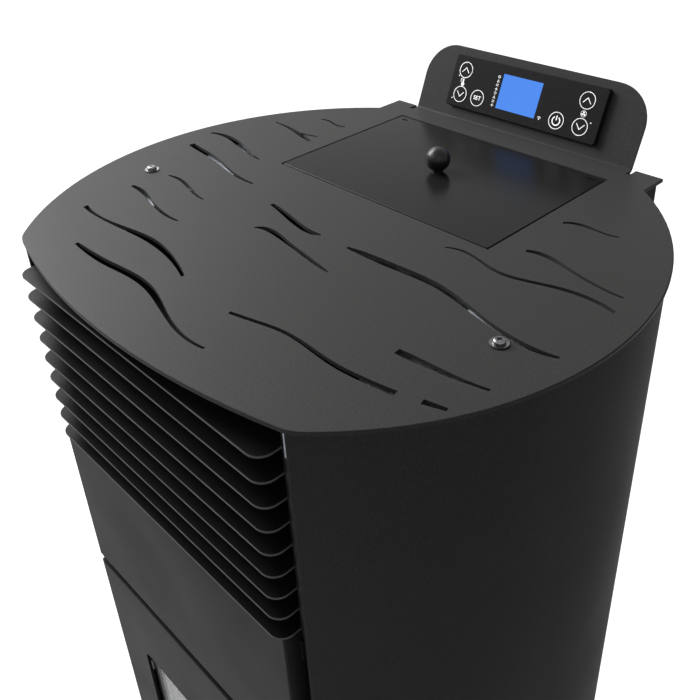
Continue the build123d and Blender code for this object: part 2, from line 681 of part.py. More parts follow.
# ---------------------------------------------------------------- heat exchanger and smoke path
hx_front = -150.0
hx_rear = 6.0
hx_height = 96.0
hx_top = box_top + hx_height
hx_window_inset = 14.0  # the smoke duct's window, from the exchanger's floor and roof
hx_wall = 3.0
tube_r = 16.0
tube_wall = 2.0
tube_count = 5
with BuildPart() as heat_exchanger:
    block(-box_half, box_half, hx_front, hx_rear, box_top, hx_top)
    block(-box_half + hx_wall, box_half - hx_wall, hx_front + hx_wall, hx_rear - hx_wall,
          box_top + hx_wall, hx_top - hx_wall, mode=Mode.SUBTRACT)
    tube_spots = [((i - (tube_count - 1) / 2) * 42.0, hx_front, (box_top + hx_top) / 2 + 4)
                  for i in range(tube_count)]
    for spot in tube_spots:
        rod(spot, (0, 1, 0), tube_r, hx_rear - hx_front)
    for x, y, z in tube_spots:
        rod((x, y - 1, z), (0, 1, 0), tube_r - tube_wall, hx_rear - hx_front + 2, mode=Mode.SUBTRACT)
    block(-60, 60, -140, -60, box_top - 1, box_top + hx_wall + 1, mode=Mode.SUBTRACT)
    block(-box_half - 1, -box_half + hx_wall + 1, -38, 0, box_top + hx_window_inset,
          hx_top - hx_window_inset, mode=Mode.SUBTRACT)
heat_exchanger.part.label = "heat_exchanger"
export_step(heat_exchanger.part, "parts/heat_exchanger.step")

duct_x0 = -150.0
duct_y0 = -44.0
duct_y1 = 6.0
fan_x = 30.0
fan_y = 60.0
fan_z = 170.0
scroll_r = 75.0
scroll_wall = 2.0
eye_r = 28.0
collector_z0 = 132.0
collector_z1 = 208.0
with BuildPart() as smoke_duct:
    block(duct_x0, -box_half, duct_y0, duct_y1, collector_z0, hx_top - 8)
    block(duct_x0, -fan_x, duct_y1 - 10, fan_y + 40, collector_z0, collector_z1)
    block(duct_x0 + 2, -box_half - 2, duct_y0 + 2, duct_y1 - 2, collector_z0 + 2, hx_top - 10,
          mode=Mode.SUBTRACT)
    block(duct_x0 + 2, -fan_x - 2, duct_y1 - 8, fan_y + 38, collector_z0 + 2, collector_z1 - 2,
          mode=Mode.SUBTRACT)
    block(-box_half - 3, -box_half + 1, -38, 0, box_top + hx_window_inset,
          hx_top - hx_window_inset, mode=Mode.SUBTRACT)
    rod((-fan_x - 5, fan_y, fan_z), (1, 0, 0), eye_r, 6, mode=Mode.SUBTRACT)
smoke_duct.part.label = "smoke_duct"
export_step(smoke_duct.part, "parts/smoke_duct.step")

outlet_y = 150.0
outlet_top = flue_z + 28
shaft_r = 4.0
motor_r = 35.0
with BuildPart() as smoke_fan_housing:
    rod((-fan_x, fan_y, fan_z), (1, 0, 0), scroll_r, 2 * fan_x)
    block(-fan_x, fan_x, fan_y, outlet_y, fan_z - scroll_r, outlet_top)
    rod((-fan_x + scroll_wall, fan_y, fan_z), (1, 0, 0), scroll_r - scroll_wall, 2 * (fan_x - scroll_wall),
        mode=Mode.SUBTRACT)
    block(-fan_x + scroll_wall, fan_x - scroll_wall, fan_y, outlet_y + 1,
          fan_z - scroll_r + scroll_wall, outlet_top - scroll_wall, mode=Mode.SUBTRACT)
    rod((-fan_x - 1, fan_y, fan_z), (1, 0, 0), eye_r, 4, mode=Mode.SUBTRACT)
    rod((fan_x, fan_y, fan_z), (1, 0, 0), motor_r, 62)
    rod((fan_x - 4, fan_y, fan_z), (1, 0, 0), shaft_r + run_gap, 50, mode=Mode.SUBTRACT)
    pair(fan_x - 8, fan_x, fan_y - 30, fan_y + 30, base_top, fan_z - 66)
smoke_fan_housing.part.label = "smoke_fan_housing"
export_step(smoke_fan_housing.part, "parts/smoke_fan_housing.step")

with BuildPart() as smoke_fan_impeller:
    rod((12, fan_y, fan_z), (1, 0, 0), 55, 2)
    rod((-8, fan_y, fan_z), (1, 0, 0), 9, 20)
    rod((0, fan_y, fan_z), (1, 0, 0), shaft_r, fan_x + 40)
    with BuildSketch(Plane(origin=(-20, fan_y, fan_z), x_dir=(0, 1, 0), z_dir=(1, 0, 0))):
        with PolarLocations(36, 8):
            Rectangle(36, 2)
    extrude(amount=32)
smoke_fan_impeller.part.label = "smoke_fan_impeller"
export_step(smoke_fan_impeller.part, "parts/smoke_fan_impeller.step")

with BuildPart() as flue_spigot:
    block(-50, 50, outlet_y, outlet_y + 3, flue_z - 50, flue_z + 50)
    rod((0, outlet_y, flue_z), (0, 1, 0), flue_r - pipe_step, flue_end - outlet_y)
    rod((0, casing_rear, flue_z), (0, 1, 0), flue_r, flue_end - casing_rear)
    rod((0, outlet_y - 1, flue_z), (0, 1, 0), flue_r - flue_wall, flue_end - outlet_y + 2,
        mode=Mode.SUBTRACT)
flue_spigot.part.label = "flue_spigot"
export_step(flue_spigot.part, "parts/flue_spigot.step")

with BuildPart() as air_intake_pipe:
    rod((intake_x, box_rear, intake_z), (0, 1, 0), intake_r - pipe_step, intake_end - box_rear)
    rod((intake_x, casing_rear, intake_z), (0, 1, 0), intake_r, intake_end - casing_rear)
    rod((intake_x, box_rear - 1, intake_z), (0, 1, 0), intake_r - intake_wall, intake_end - box_rear + 2,
        mode=Mode.SUBTRACT)
air_intake_pipe.part.label = "air_intake_pipe"
export_step(air_intake_pipe.part, "parts/air_intake_pipe.step")

# ---------------------------------------------------------------- room air fan
blower_y = 55.0
blower_z = 330.0
blower_half = 90.0
blower_r = 30.0
with BuildPart() as room_fan_housing:
    block(-blower_half, blower_half, 12, 98, blower_z - 42, blower_z + 42)
    rod((-blower_half + 3, blower_y, blower_z), (1, 0, 0), blower_r + 5, 2 * blower_half - 6,
        mode=Mode.SUBTRACT)
    block(-blower_half + 3, blower_half - 3, 22, blower_y, blower_z, blower_z + 43, mode=Mode.SUBTRACT)
    block(-blower_half + 3, blower_half - 3, blower_y, 99, blower_z - 22, blower_z + 8, mode=Mode.SUBTRACT)
    rod((blower_half, blower_y, blower_z), (1, 0, 0), 27, 46)
    rod((-blower_half - 1, blower_y, blower_z), (1, 0, 0), shaft_r + run_gap, 2 * blower_half + 22,
        mode=Mode.SUBTRACT)
    pair(blower_half - 12, blower_half, box_rear, 12, blower_z - 20, blower_z + 20)
room_fan_housing.part.label = "room_fan_housing"
export_step(room_fan_housing.part, "parts/room_fan_housing.step")

with BuildPart() as room_fan_rotor:
    rotor_half = blower_half - 6
    rod((-blower_half, blower_y, blower_z), (1, 0, 0), shaft_r, 2 * blower_half + 20)
    for disc_x in (-rotor_half, -1.0, rotor_half - 2):
        rod((disc_x, blower_y, blower_z), (1, 0, 0), blower_r, 2)
    with BuildSketch(Plane(origin=(-rotor_half, blower_y, blower_z), x_dir=(0, 1, 0), z_dir=(1, 0, 0))):
        with PolarLocations(blower_r - 5, 24):
            Rectangle(7, 1.2, rotation=35)
    extrude(amount=2 * rotor_half)
room_fan_rotor.part.label = "room_fan_rotor"
export_step(room_fan_rotor.part, "parts/room_fan_rotor.step")

# ---------------------------------------------------------------- hopper and feed auger
hopper_half = 105.0
hopper_front = 28.0
hopper_rear = 150.0
hopper_wall = 1.5
hopper_neck_z = 640.0
hopper_outlet_z = 573.0
hopper_outlet_y = 74.0
hopper_outlet_half = 26.0
flange_z = rail_top
flange_h = 2.0


def hopper_shape(grow, z_top, z_bottom, mode):
    """The hopper's straight part and its funnel, grown by the wall."""
    depth = hopper_rear - hopper_front + 2 * grow
    middle = (hopper_front + hopper_rear) / 2
    block(-hopper_half - grow, hopper_half + grow, middle - depth / 2, middle + depth / 2,
          hopper_neck_z, z_top, mode)
    with BuildSketch(Plane.XY.offset(hopper_neck_z)) as neck:
        with Locations((0, middle)):
            Rectangle(2 * (hopper_half + grow), depth)
    with BuildSketch(Plane.XY.offset(z_bottom)) as outlet:
        with Locations((0, hopper_outlet_y)):
            Rectangle(2 * (hopper_outlet_half + grow), 2 * (hopper_outlet_half + grow))
    loft([neck.sketch, outlet.sketch], mode=mode)


with BuildPart() as hopper:
    hopper_shape(hopper_wall, flange_z + flange_h, hopper_outlet_z, Mode.ADD)
    block(-screw_x - 4, screw_x + 4, hopper_front - 14, upright_rear + 10, flange_z, flange_z + flange_h)
    block(-opening_half, opening_half, upright_rear, hopper_rear + 8, flange_z, flange_z + flange_h)
    hopper_shape(0, flange_z + flange_h + 1, hopper_outlet_z, Mode.SUBTRACT)
    block(-hopper_outlet_half, hopper_outlet_half, hopper_outlet_y - hopper_outlet_half,
          hopper_outlet_y + hopper_outlet_half, hopper_outlet_z - 1, hopper_outlet_z + 1, mode=Mode.SUBTRACT)
hopper.part.label = "hopper"
export_step(hopper.part, "parts/hopper.step")

seal_w = 6.0
with BuildPart() as lid_seal:
    seal_half = hopper_half + seal_w
    block(-seal_half, seal_half, hopper_front - seal_w, hopper_rear + seal_w, flange_z + flange_h,
          plate_under - touch)
    fillet(lid_seal.edges().filter_by(Axis.Z), radius=seal_w)
    fillet(lid_seal.faces().sort_by(Axis.Z)[-1].edges(), radius=1.5)
    block(-hopper_half, hopper_half, hopper_front, hopper_rear, flange_z, plate_under + 1,
          mode=Mode.SUBTRACT)
lid_seal.part.label = "lid_seal"
export_step(lid_seal.part, "parts/lid_seal.step")

auger_foot_z = 480.0
auger_foot = (0, 108.0, auger_foot_z)
auger_rise = 40.0
auger_length = 150.0
auger_tube_r = 30.0
auger_tube_wall = 3.0
flight_r = 24.0
flight_pitch = 40.0
auger_shaft_r = 6.0
auger_cos, auger_sin = cos(radians(auger_rise)), sin(radians(auger_rise))
auger_plane = Plane(origin=auger_foot, x_dir=(1, 0, 0), z_dir=(0, -auger_cos, auger_sin))
chute_drop = 52.0
chute_start = (0, box_rear + chute_drop, chute_wall_z + chute_drop)
neck_bottom = auger_foot_z + 32

with BuildPart() as auger_tube:
    rod(auger_foot, auger_plane.z_dir, auger_tube_r, auger_length)
    neck_w = hopper_outlet_half + hopper_wall
    block(-neck_w, neck_w, hopper_outlet_y - neck_w, hopper_outlet_y + neck_w, neck_bottom,
          hopper_outlet_z)
    rod(chute_start, (0, -1, -1), chute_r, chute_drop * sqrt(2) + 20)
    block(-2 * chute_r, 2 * chute_r, box_rear - 3 * chute_r, box_rear, chute_wall_z - 4 * chute_r,
          chute_wall_z + 4 * chute_r, mode=Mode.SUBTRACT)
    rod(
        tuple(Vector(auger_foot) + auger_tube_wall * auger_plane.z_dir), auger_plane.z_dir,
        auger_tube_r - auger_tube_wall, auger_length - 2 * auger_tube_wall, mode=Mode.SUBTRACT,
    )
    block(-neck_w + 3, neck_w - 3, hopper_outlet_y - neck_w + 3, hopper_outlet_y + neck_w - 3,
          neck_bottom + 3, hopper_outlet_z + 1, mode=Mode.SUBTRACT)
    rod(chute_start, (0, -1, -1), chute_r - 2, chute_drop * sqrt(2) + 30, mode=Mode.SUBTRACT)
    rod(auger_foot, auger_plane.z_dir, auger_shaft_r + run_gap, 2 * auger_tube_wall, mode=Mode.SUBTRACT)
auger_tube.part.label = "auger_tube"
export_step(auger_tube.part, "parts/auger_tube.step")

with BuildPart(auger_plane) as auger_screw:
    with Locations((0, 0, -20)):
        Cylinder(auger_shaft_r, auger_length + 10, align=(Align.CENTER, Align.CENTER, Align.MIN))
    flight_centre = auger_plane.offset(12).origin
    with BuildLine() as flight_path:
        Helix(flight_pitch, 2.75 * flight_pitch, (flight_r + auger_shaft_r) / 2, center=flight_centre,
              direction=auger_plane.z_dir)
    flight_start = flight_path.line @ 0
    with BuildSketch(Plane(origin=flight_start, x_dir=flight_start - flight_centre,
                           z_dir=flight_path.line % 0)):
        Rectangle(flight_r - auger_shaft_r + 1, 3)
    sweep(is_frenet=True)
auger_screw.part.label = "auger_screw"
export_step(auger_screw.part, "parts/auger_screw.step")

with BuildPart(auger_plane) as auger_gearmotor:
    with Locations((0, 0, -24)):
        Box(56, 56, 48)
    with Locations((0, 0, -48)):
        Cylinder(22, 26, align=(Align.CENTER, Align.CENTER, Align.MAX))
    with Locations((0, 0, 1)):
        Cylinder(auger_shaft_r + run_gap, 44, align=(Align.CENTER, Align.CENTER, Align.MAX),
                 mode=Mode.SUBTRACT)
auger_gearmotor.part.label = "auger_gearmotor"
export_step(auger_gearmotor.part, "parts/auger_gearmotor.step")

# ---------------------------------------------------------------- door
window_half = 98.0
window_top = door_top - 92
window_bottom = door_bottom + 34
window_r = 9.0
door_skin_t = 3.0
frame_front = face_y + 9
frame_t = 6.0
glass_t = 4.0
glass_over = 14.0
handle_shaft_r = 6.0


def window(over, y0, y1, mode=Mode.SUBTRACT):
    """The window's opening, or a pane that is larger by over."""
    with BuildSketch(Plane.XZ.offset(-y0)) as hole:
        with Locations((0, (window_top + window_bottom) / 2)):
            RectangleRounded(2 * (window_half + over), window_top - window_bottom + 2 * over, window_r)
    extrude(hole.sketch, amount=y0 - y1, mode=mode)


with BuildPart() as door_skin:
    tray(face_half, door_bottom, door_top)
    fillet(tray_edges(door_skin), radius=face_edge_r)
    block(-face_half + sheet, face_half - sheet, face_y + door_skin_t, return_y + 1,
          door_bottom + sheet, door_top - sheet, mode=Mode.SUBTRACT)
    window(0, face_y - 1, face_y + door_skin_t + 1)
    rod((handle_x, face_y - 1, handle_z), (0, 1, 0), handle_shaft_r + run_gap, 6, mode=Mode.SUBTRACT)
    rod((hinge_x, door_axis_y, door_bottom - 1), (0, 0, 1), door_pin_r, door_height + 2, mode=Mode.SUBTRACT)
door_skin.part.label = "door_skin"
export_step(door_skin.part, "parts/door_skin.step")

with BuildPart() as door_frame:
    block(-face_half + sheet, face_half - sheet, frame_front, frame_front + frame_t,
          door_bottom + sheet, door_top - sheet)
    window(0, frame_front - 1, frame_front + frame_t + 1)
    rod((handle_x, frame_front - 1, handle_z), (0, 1, 0), handle_shaft_r + run_gap, frame_t + 2,
        mode=Mode.SUBTRACT)
    rod((hinge_x, door_axis_y, door_bottom - 1), (0, 0, 1), door_pin_r, door_height + 2, mode=Mode.SUBTRACT)
door_frame.part.label = "door_frame"
export_step(door_frame.part, "parts/door_frame.step")

with BuildPart() as door_glass:
    window(glass_over, frame_front - glass_t, frame_front, mode=Mode.ADD)
door_glass.part.label = "door_glass"
export_step(door_glass.part, "parts/door_glass.step")

with BuildPart() as glass_clips:
    for clip_z in (window_bottom + 30, window_top - 30):
        pair(window_half + 3, window_half + glass_over + 6, face_y + door_skin_t, frame_front - glass_t,
             clip_z - 7, clip_z + 7)
        pair(window_half + glass_over, window_half + glass_over + 6, frame_front - glass_t, frame_front,
             clip_z - 7, clip_z + 7)
glass_clips.part.label = "glass_clips"
export_step(glass_clips.part, "parts/glass_clips.step")

door_seal_w = 8.0
with BuildPart() as door_seal:
    seal_y0, seal_y1 = frame_front + frame_t, box_front - touch
    block(-mouth_half - door_seal_w - 4, mouth_half + door_seal_w + 4, seal_y0, seal_y1,
          mouth_bottom - door_seal_w - 4, mouth_top + door_seal_w + 4)
    fillet(door_seal.edges().filter_by(Axis.Y), radius=10)
    fillet(door_seal.faces().sort_by(Axis.Y)[-1].edges(), radius=2)
    block(-mouth_half - 4, mouth_half + 4, seal_y0 - 1, seal_y1 + 1, mouth_bottom - 4, mouth_top + 4,
          mode=Mode.SUBTRACT)
door_seal.part.label = "door_seal"
export_step(door_seal.part, "parts/door_seal.step")

with BuildPart() as door_hinge_pins:
    rod((hinge_x, door_axis_y, door_top - 18), (0, 0, 1), door_pin_r, 24)
    rod((hinge_x, door_axis_y, door_bottom - 6), (0, 0, 1), door_pin_r, 24)
door_hinge_pins.part.label = "door_hinge_pins"
export_step(door_hinge_pins.part, "parts/door_hinge_pins.step")

handle_reach = 28.0
tongue_y = box_front + flange_t + 1
with BuildPart() as door_handle:
    rod((handle_x, face_y - handle_reach + 2, handle_z), (0, 1, 0), handle_shaft_r,
        tongue_y + 4 - face_y + handle_reach - 2)
    rod((handle_x, face_y - 4, handle_z), (0, 1, 0), 12, 3.7)
    with BuildSketch(Plane.XZ.offset(-(face_y - handle_reach))):
        with Locations((handle_x, handle_z - 38)):
            SlotOverall(102, 18, rotation=90)
    extrude(amount=-11)
    fillet(door_handle.faces().sort_by(Axis.Y)[0].edges(), radius=3)
    block(handle_x - 5, handle_x + 5, tongue_y, tongue_y + 4, handle_z - 20, handle_z)
door_handle.part.label = "door_handle"
export_step(door_handle.part, "parts/door_handle.step")

# ---------------------------------------------------------------- ash drawer
tray_rear = -72.0
tray_top = 205.0
with BuildPart() as ash_drawer:
    tray(face_half, drawer_bottom, drawer_top)
    fillet(tray_edges(ash_drawer), radius=face_edge_r)
    block(-face_half + sheet, face_half - sheet, face_y + sheet, return_y + 1, drawer_bottom + sheet,
          drawer_top - sheet, mode=Mode.SUBTRACT)
    block(-tray_half, tray_half, face_y + sheet, tray_rear, tray_bottom, tray_top)
    block(-tray_half + 1.5, tray_half - 1.5, face_y + sheet + 1.5, tray_rear - 1.5, tray_bottom + 1.5,
          tray_top + 1, mode=Mode.SUBTRACT)
    pair(tray_half, face_half - sheet, face_y + sheet, return_y, drawer_top - 30, drawer_top - sheet)
    block(-40, 40, face_y - 14, face_y + 1, drawer_top - 8, drawer_top - 5)
ash_drawer.part.label = "ash_drawer"
export_step(ash_drawer.part, "parts/ash_drawer.step")

# ---------------------------------------------------------------- electrics
standoff = 8.0
with BuildPart() as control_board:
    board_x = upright_x - standoff
    with Locations([
        (upright_x - standoff / 2, y, z) for y in (-60, 40) for z in (board_z + 20, board_z + 130)
    ]):
        Box(standoff, 7, 7)
    block(board_x - 1.6, board_x, -68, 48, board_z + 12, board_z + 138)
    block(board_x - 22, board_x - 1.6, -60, -28, board_z + 20, board_z + 60)
    block(board_x - 16, board_x - 1.6, -8, 14, board_z + 22, board_z + 38)
    block(board_x - 4, board_x - 1.6, -20, 4, board_z + 70, board_z + 94)
    for relay in range(3):
        block(board_x - 17, board_x - 1.6, 20, 38, board_z + 24 + 30 * relay, board_z + 44 + 30 * relay)
    rod((board_x - 1.6, -45, board_z + 90), (-1, 0, 0), 9, 20)
    block(board_x - 13, board_x - 1.6, -60, 40, board_z + 120, board_z + 132)
control_board.part.label = "control_board"
export_step(control_board.part, "parts/control_board.step")

inlet_flange = 2.5
socket_z = inlet_z - 12
switch_z = inlet_z + 16
rocker_r = 9.0
rocker_tilt = 8.0  # each side of level; at rest it is off
rocker_y = casing_rear + inlet_flange - 3.5
with BuildPart() as mains_inlet:
    block(inlet_x - inlet_w / 2, inlet_x + inlet_w / 2, casing_rear, casing_rear + inlet_flange,
          inlet_z - inlet_h / 2, inlet_z + inlet_h / 2)
    fillet(mains_inlet.edges().filter_by(Axis.Y), radius=2.5)
    block(inlet_x - inlet_w / 2 + 3, inlet_x + inlet_w / 2 - 3, casing_rear - 24, casing_rear,
          inlet_z - inlet_h / 2 + 3, inlet_z + inlet_h / 2 - 3)
    block(inlet_x - 12 + 2.5, inlet_x + 12 - 2.5, casing_rear - 15, casing_rear + inlet_flange + 1,
          socket_z - 13, socket_z + 12, mode=Mode.SUBTRACT)
    for pin_z in (socket_z - 7, socket_z, socket_z + 7):
        pin_x = inlet_x + (3 if pin_z == socket_z else -3)
        block(pin_x - 2, pin_x + 2, casing_rear - 15, casing_rear - 2, pin_z - 1, pin_z + 1)
    block(inlet_x - 7.2, inlet_x + 7.2, casing_rear - 9, casing_rear + inlet_flange + 1,
          switch_z - 10.5, switch_z + 10.5, mode=Mode.SUBTRACT)
    rod((inlet_x - 9, rocker_y, switch_z), (1, 0, 0), 1.5 + run_gap, 18, mode=Mode.SUBTRACT)
mains_inlet.part.label = "mains_inlet"
export_step(mains_inlet.part, "parts/mains_inlet.step")

with BuildPart() as rocker_switch:
    rod((inlet_x - 8.8, rocker_y, switch_z), (1, 0, 0), 1.5, 17.6)
    with BuildSketch(Plane.YZ.offset(inlet_x - 6.9)):
        with Locations((rocker_y, switch_z)):
            Polygon((-3.5, -4), (3.2, -rocker_r), (4.6, 0), (3.2, rocker_r), (-3.5, 4),
                    rotation=-rocker_tilt, align=None)
    extrude(amount=13.8)
rocker_switch.part.label = "rocker_switch"
export_step(rocker_switch.part, "parts/rocker_switch.step")

print("panel top", panel_top, "door", door_bottom, door_top, "drawer", drawer_bottom, drawer_top)
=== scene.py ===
# %% [markdown]
# # A pellet stove with a slotted round top
# This lesson dresses a pellet stove that was made in CAD. The CAD pieces are already in the right
# place and at the right size, so the work here is finish, light and the small printed detail that
# a CAD solid doesn't carry: paint, zinc, glass, the display and the symbols on the keys.

# %% Load the CAD model
from math import cos, pi, radians, sin

import bmesh
import bpy
from mathutils import Matrix, Vector


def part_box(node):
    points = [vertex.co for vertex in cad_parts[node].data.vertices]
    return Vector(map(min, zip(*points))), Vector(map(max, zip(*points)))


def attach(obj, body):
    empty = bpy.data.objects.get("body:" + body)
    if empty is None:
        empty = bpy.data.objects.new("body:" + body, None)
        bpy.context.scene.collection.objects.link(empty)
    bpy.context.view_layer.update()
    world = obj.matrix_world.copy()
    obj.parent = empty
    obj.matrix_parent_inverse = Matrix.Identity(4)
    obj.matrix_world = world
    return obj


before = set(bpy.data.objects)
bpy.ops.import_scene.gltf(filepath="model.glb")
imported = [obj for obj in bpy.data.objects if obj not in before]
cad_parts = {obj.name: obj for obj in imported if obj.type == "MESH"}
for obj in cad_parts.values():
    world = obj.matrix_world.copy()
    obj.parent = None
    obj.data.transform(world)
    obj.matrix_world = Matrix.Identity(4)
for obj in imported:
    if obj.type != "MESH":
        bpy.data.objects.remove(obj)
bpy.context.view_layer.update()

# %% [markdown]
# ## Camera
# The photograph was taken from the front right, a little above the top plate, and it looks down
# and to the left. A camera could be aimed at an empty, but this view was worked out from the
# plate's outline, and that gives three angles: the compass direction, how far the lens points
# down, and a small roll. A vertical shift of the lens lowers the frame onto the stove's front
# without making the upright edges converge any more.

# %% The photograph's viewpoint
VIEW_AZIMUTH = radians(-47.70)
VIEW_DOWN = radians(30.27)
VIEW_ROLL = radians(-2.74)
CAMERA_PLACE = Vector((0.4513, -0.4231, 1.2409))
LENS_MM = 43.58
SENSOR_MM = 36
LENS_SHIFT_Y = -0.1257

# %% The camera's three directions
look = Vector((
    sin(VIEW_AZIMUTH) * cos(VIEW_DOWN),
    cos(VIEW_AZIMUTH) * cos(VIEW_DOWN),
    -sin(VIEW_DOWN),
))
level_right = Vector((cos(VIEW_AZIMUTH), -sin(VIEW_AZIMUTH), 0))
level_up = level_right.cross(look)
cam_right = cos(VIEW_ROLL) * level_right + sin(VIEW_ROLL) * level_up
cam_up = -sin(VIEW_ROLL) * level_right + cos(VIEW_ROLL) * level_up
print("camera looks along", tuple(round(v, 3) for v in look))

# %% Camera
camera_data = bpy.data.cameras.new("photo_camera")
camera_data.lens = LENS_MM
camera_data.sensor_width = SENSOR_MM
camera_data.shift_y = LENS_SHIFT_Y
camera_data.clip_start = 0.01
camera = bpy.data.objects.new("photo_camera", camera_data)
turn = Matrix((cam_right, cam_up, -look)).transposed()
camera.matrix_world = Matrix.Translation(CAMERA_PLACE) @ turn.to_4x4()
bpy.context.scene.collection.objects.link(camera)
bpy.context.scene.camera = camera
bpy.context.scene.view_settings.view_transform = "Standard"
print("camera at", tuple(round(v, 3) for v in CAMERA_PLACE), "with a lens of", LENS_MM, "mm")

# %% [markdown]
# ## Light and background
# The stove is nearly black, so what makes its shape readable is the sheen of the paint, not the
# colour. The background is white to the lens and to reflections, because the photograph shows the
# stove on plain white. As a source of light it is much dimmer, so that it doesn't wash the dark
# paint out. The Light Path node tells the two uses apart.

# %% What is seen and what is lit


def seen_not_lit(nodes, links):
    """A factor that is 1 for what the lens, a reflection or a view through glass sees."""
    path = nodes.new("ShaderNodeLightPath")
    first = nodes.new("ShaderNodeMath")
    first.operation = "MAXIMUM"
    second = nodes.new("ShaderNodeMath")
    second.operation = "MAXIMUM"
    links.new(path.outputs["Is Camera Ray"], first.inputs[0])
    links.new(path.outputs["Is Glossy Ray"], first.inputs[1])
    links.new(first.outputs[0], second.inputs[0])
    links.new(path.outputs["Is Transmission Ray"], second.inputs[1])
    return second.outputs[0]


# %% World
LIGHT_FROM_WORLD, WORLD_SEEN = 0.15, 1.0
WHITE = (1, 1, 1, 1)
world = bpy.data.worlds.new("studio")
bpy.context.scene.world = world
world.use_nodes = True
world_nodes = world.node_tree.nodes
world_links = world.node_tree.links
world_nodes.clear()
lit = world_nodes.new("ShaderNodeBackground")
lit.inputs["Color"].default_value = WHITE
lit.inputs["Strength"].default_value = LIGHT_FROM_WORLD
seen = world_nodes.new("ShaderNodeBackground")
seen.inputs["Color"].default_value = WHITE
seen.inputs["Strength"].default_value = WORLD_SEEN
world_mix = world_nodes.new("ShaderNodeMixShader")
world_out = world_nodes.new("ShaderNodeOutputWorld")
world_links.new(seen_not_lit(world_nodes, world_links), world_mix.inputs[0])
world_links.new(lit.outputs[0], world_mix.inputs[1])
world_links.new(seen.outputs[0], world_mix.inputs[2])
world_links.new(world_mix.outputs[0], world_out.inputs[0])
print("the world looks", WORLD_SEEN, "bright and lights with", LIGHT_FROM_WORLD)

# %% [markdown]
# ## Lamps
# Four square lamps do the work of a photographer's soft boxes. Small lamps or a sun would leave
# hard bright spots on the paint. The left window is the high and distant one: the top plate
# mirrors it towards the camera and turns grey. The near left lamp is close, so its light fades
# quickly across the plate, from grey at the front left to nearly black at the right. Two weak
# fills, one in front and one at the right, keep the louvres and the casing readable.

# %% Lamp helper


def soft_light(name, place, aim, size, watts):
    """A square lamp that faces a point."""
    data = bpy.data.lights.new(name, "AREA")
    data.shape = "SQUARE"
    data.size = size
    data.energy = watts
    lamp = bpy.data.objects.new(name, data)
    lamp.location = place
    lamp.rotation_euler = (Vector(aim) - Vector(place)).to_track_quat("-Z", "Y").to_euler()
    bpy.context.scene.collection.objects.link(lamp)
    print(name, "radiance", round(watts / (pi * size * size), 2))


# %% Four soft lamps
soft_light("left_window", (-2.4, 0.5, 3.0), (0, -0.05, 0.9), 1.8, 75)
soft_light("near_left", (-1.3, -0.3, 1.8), (-0.1, -0.15, 0.92), 0.9, 54)
soft_light("front_fill", (-1.2, -2.2, 2.8), (0, -0.2, 0.7), 1.6, 18)
soft_light("right_fill", (2.2, -1.6, 2.4), (0.2, 0, 0.6), 1.8, 8)

# %% [markdown]
# ## Floor
# The photograph shows nothing but white behind the stove. For the light that bounces off it, the
# floor is a plain pale sheet of paper. What the lens and the reflections see is mostly an even
# glow, with just enough matt paper under it to catch the stove's shadow. The glow grows to full
# white with the distance from the stove, so that the floor has no visible end.

# %% Floor sheet
FLOOR_HALF_M = 30
floor_mesh = bpy.data.meshes.new("floor")
floor_sides = ((-1, -1), (1, -1), (1, 1), (-1, 1))
floor_corners = [(x * FLOOR_HALF_M, y * FLOOR_HALF_M, 0) for x, y in floor_sides]
floor_mesh.from_pydata(floor_corners, [], [(0, 1, 2, 3)])
floor = bpy.data.objects.new("floor", floor_mesh)
bpy.context.scene.collection.objects.link(floor)
print("floor", 2 * FLOOR_HALF_M, "m wide")

# %% Floor paper
PAPER_GREY, SHADE_GREY = (0.8, 0.8, 0.8, 1), (0.3, 0.3, 0.3, 1)
floor_paper = bpy.data.materials.new("floor_paper")
floor_paper.use_nodes = True
nodes, links = floor_paper.node_tree.nodes, floor_paper.node_tree.links
nodes.clear()
paper = nodes.new("ShaderNodeBsdfDiffuse")
paper.inputs["Color"].default_value = PAPER_GREY
shade_catcher = nodes.new("ShaderNodeBsdfDiffuse")
shade_catcher.inputs["Color"].default_value = SHADE_GREY
print("paper", PAPER_GREY[0], "and under the glow", SHADE_GREY[0])

# %% Glow that grows with the distance
GLOW_NEAR, GLOW_FAR = 0.82, 1.0
GLOW_GROWS_FROM_M, GLOW_GROWS_TO_M = 1.0, 3.0
glow = nodes.new("ShaderNodeEmission")
glow.inputs["Color"].default_value = WHITE
floor_place = nodes.new("ShaderNodeTexCoord")
distance = nodes.new("ShaderNodeVectorMath")
distance.operation = "LENGTH"
links.new(floor_place.outputs["Object"], distance.inputs[0])
fade = nodes.new("ShaderNodeMapRange")
fade.inputs["From Min"].default_value = GLOW_GROWS_FROM_M
fade.inputs["From Max"].default_value = GLOW_GROWS_TO_M
fade.inputs["To Min"].default_value = GLOW_NEAR
fade.inputs["To Max"].default_value = GLOW_FAR
links.new(distance.outputs["Value"], fade.inputs["Value"])
links.new(fade.outputs["Result"], glow.inputs["Strength"])

# %% Floor shader
seen_floor = nodes.new("ShaderNodeAddShader")
choose = nodes.new("ShaderNodeMixShader")
sheet_out = nodes.new("ShaderNodeOutputMaterial")
links.new(shade_catcher.outputs[0], seen_floor.inputs[0])
links.new(glow.outputs[0], seen_floor.inputs[1])
links.new(seen_not_lit(nodes, links), choose.inputs[0])
links.new(paper.outputs[0], choose.inputs[1])
links.new(seen_floor.outputs[0], choose.inputs[2])
links.new(choose.outputs[0], sheet_out.inputs[0])
floor.data.materials.append(floor_paper)
print("floor glows from", GLOW_NEAR, "to", GLOW_FAR)

# %% [markdown]
# ## Finishes
# Every finish below is a Principled shader with a pattern behind it. Pictures could carry the
# patterns, but noise in the object's own metres has no seams and keeps its scale on every piece.
# `finish` makes the plain shader, and three helpers add what real surfaces have: `mottle` varies
# the colour, `worn` varies the roughness and `grain` gives the relief.

# %% Plain shader


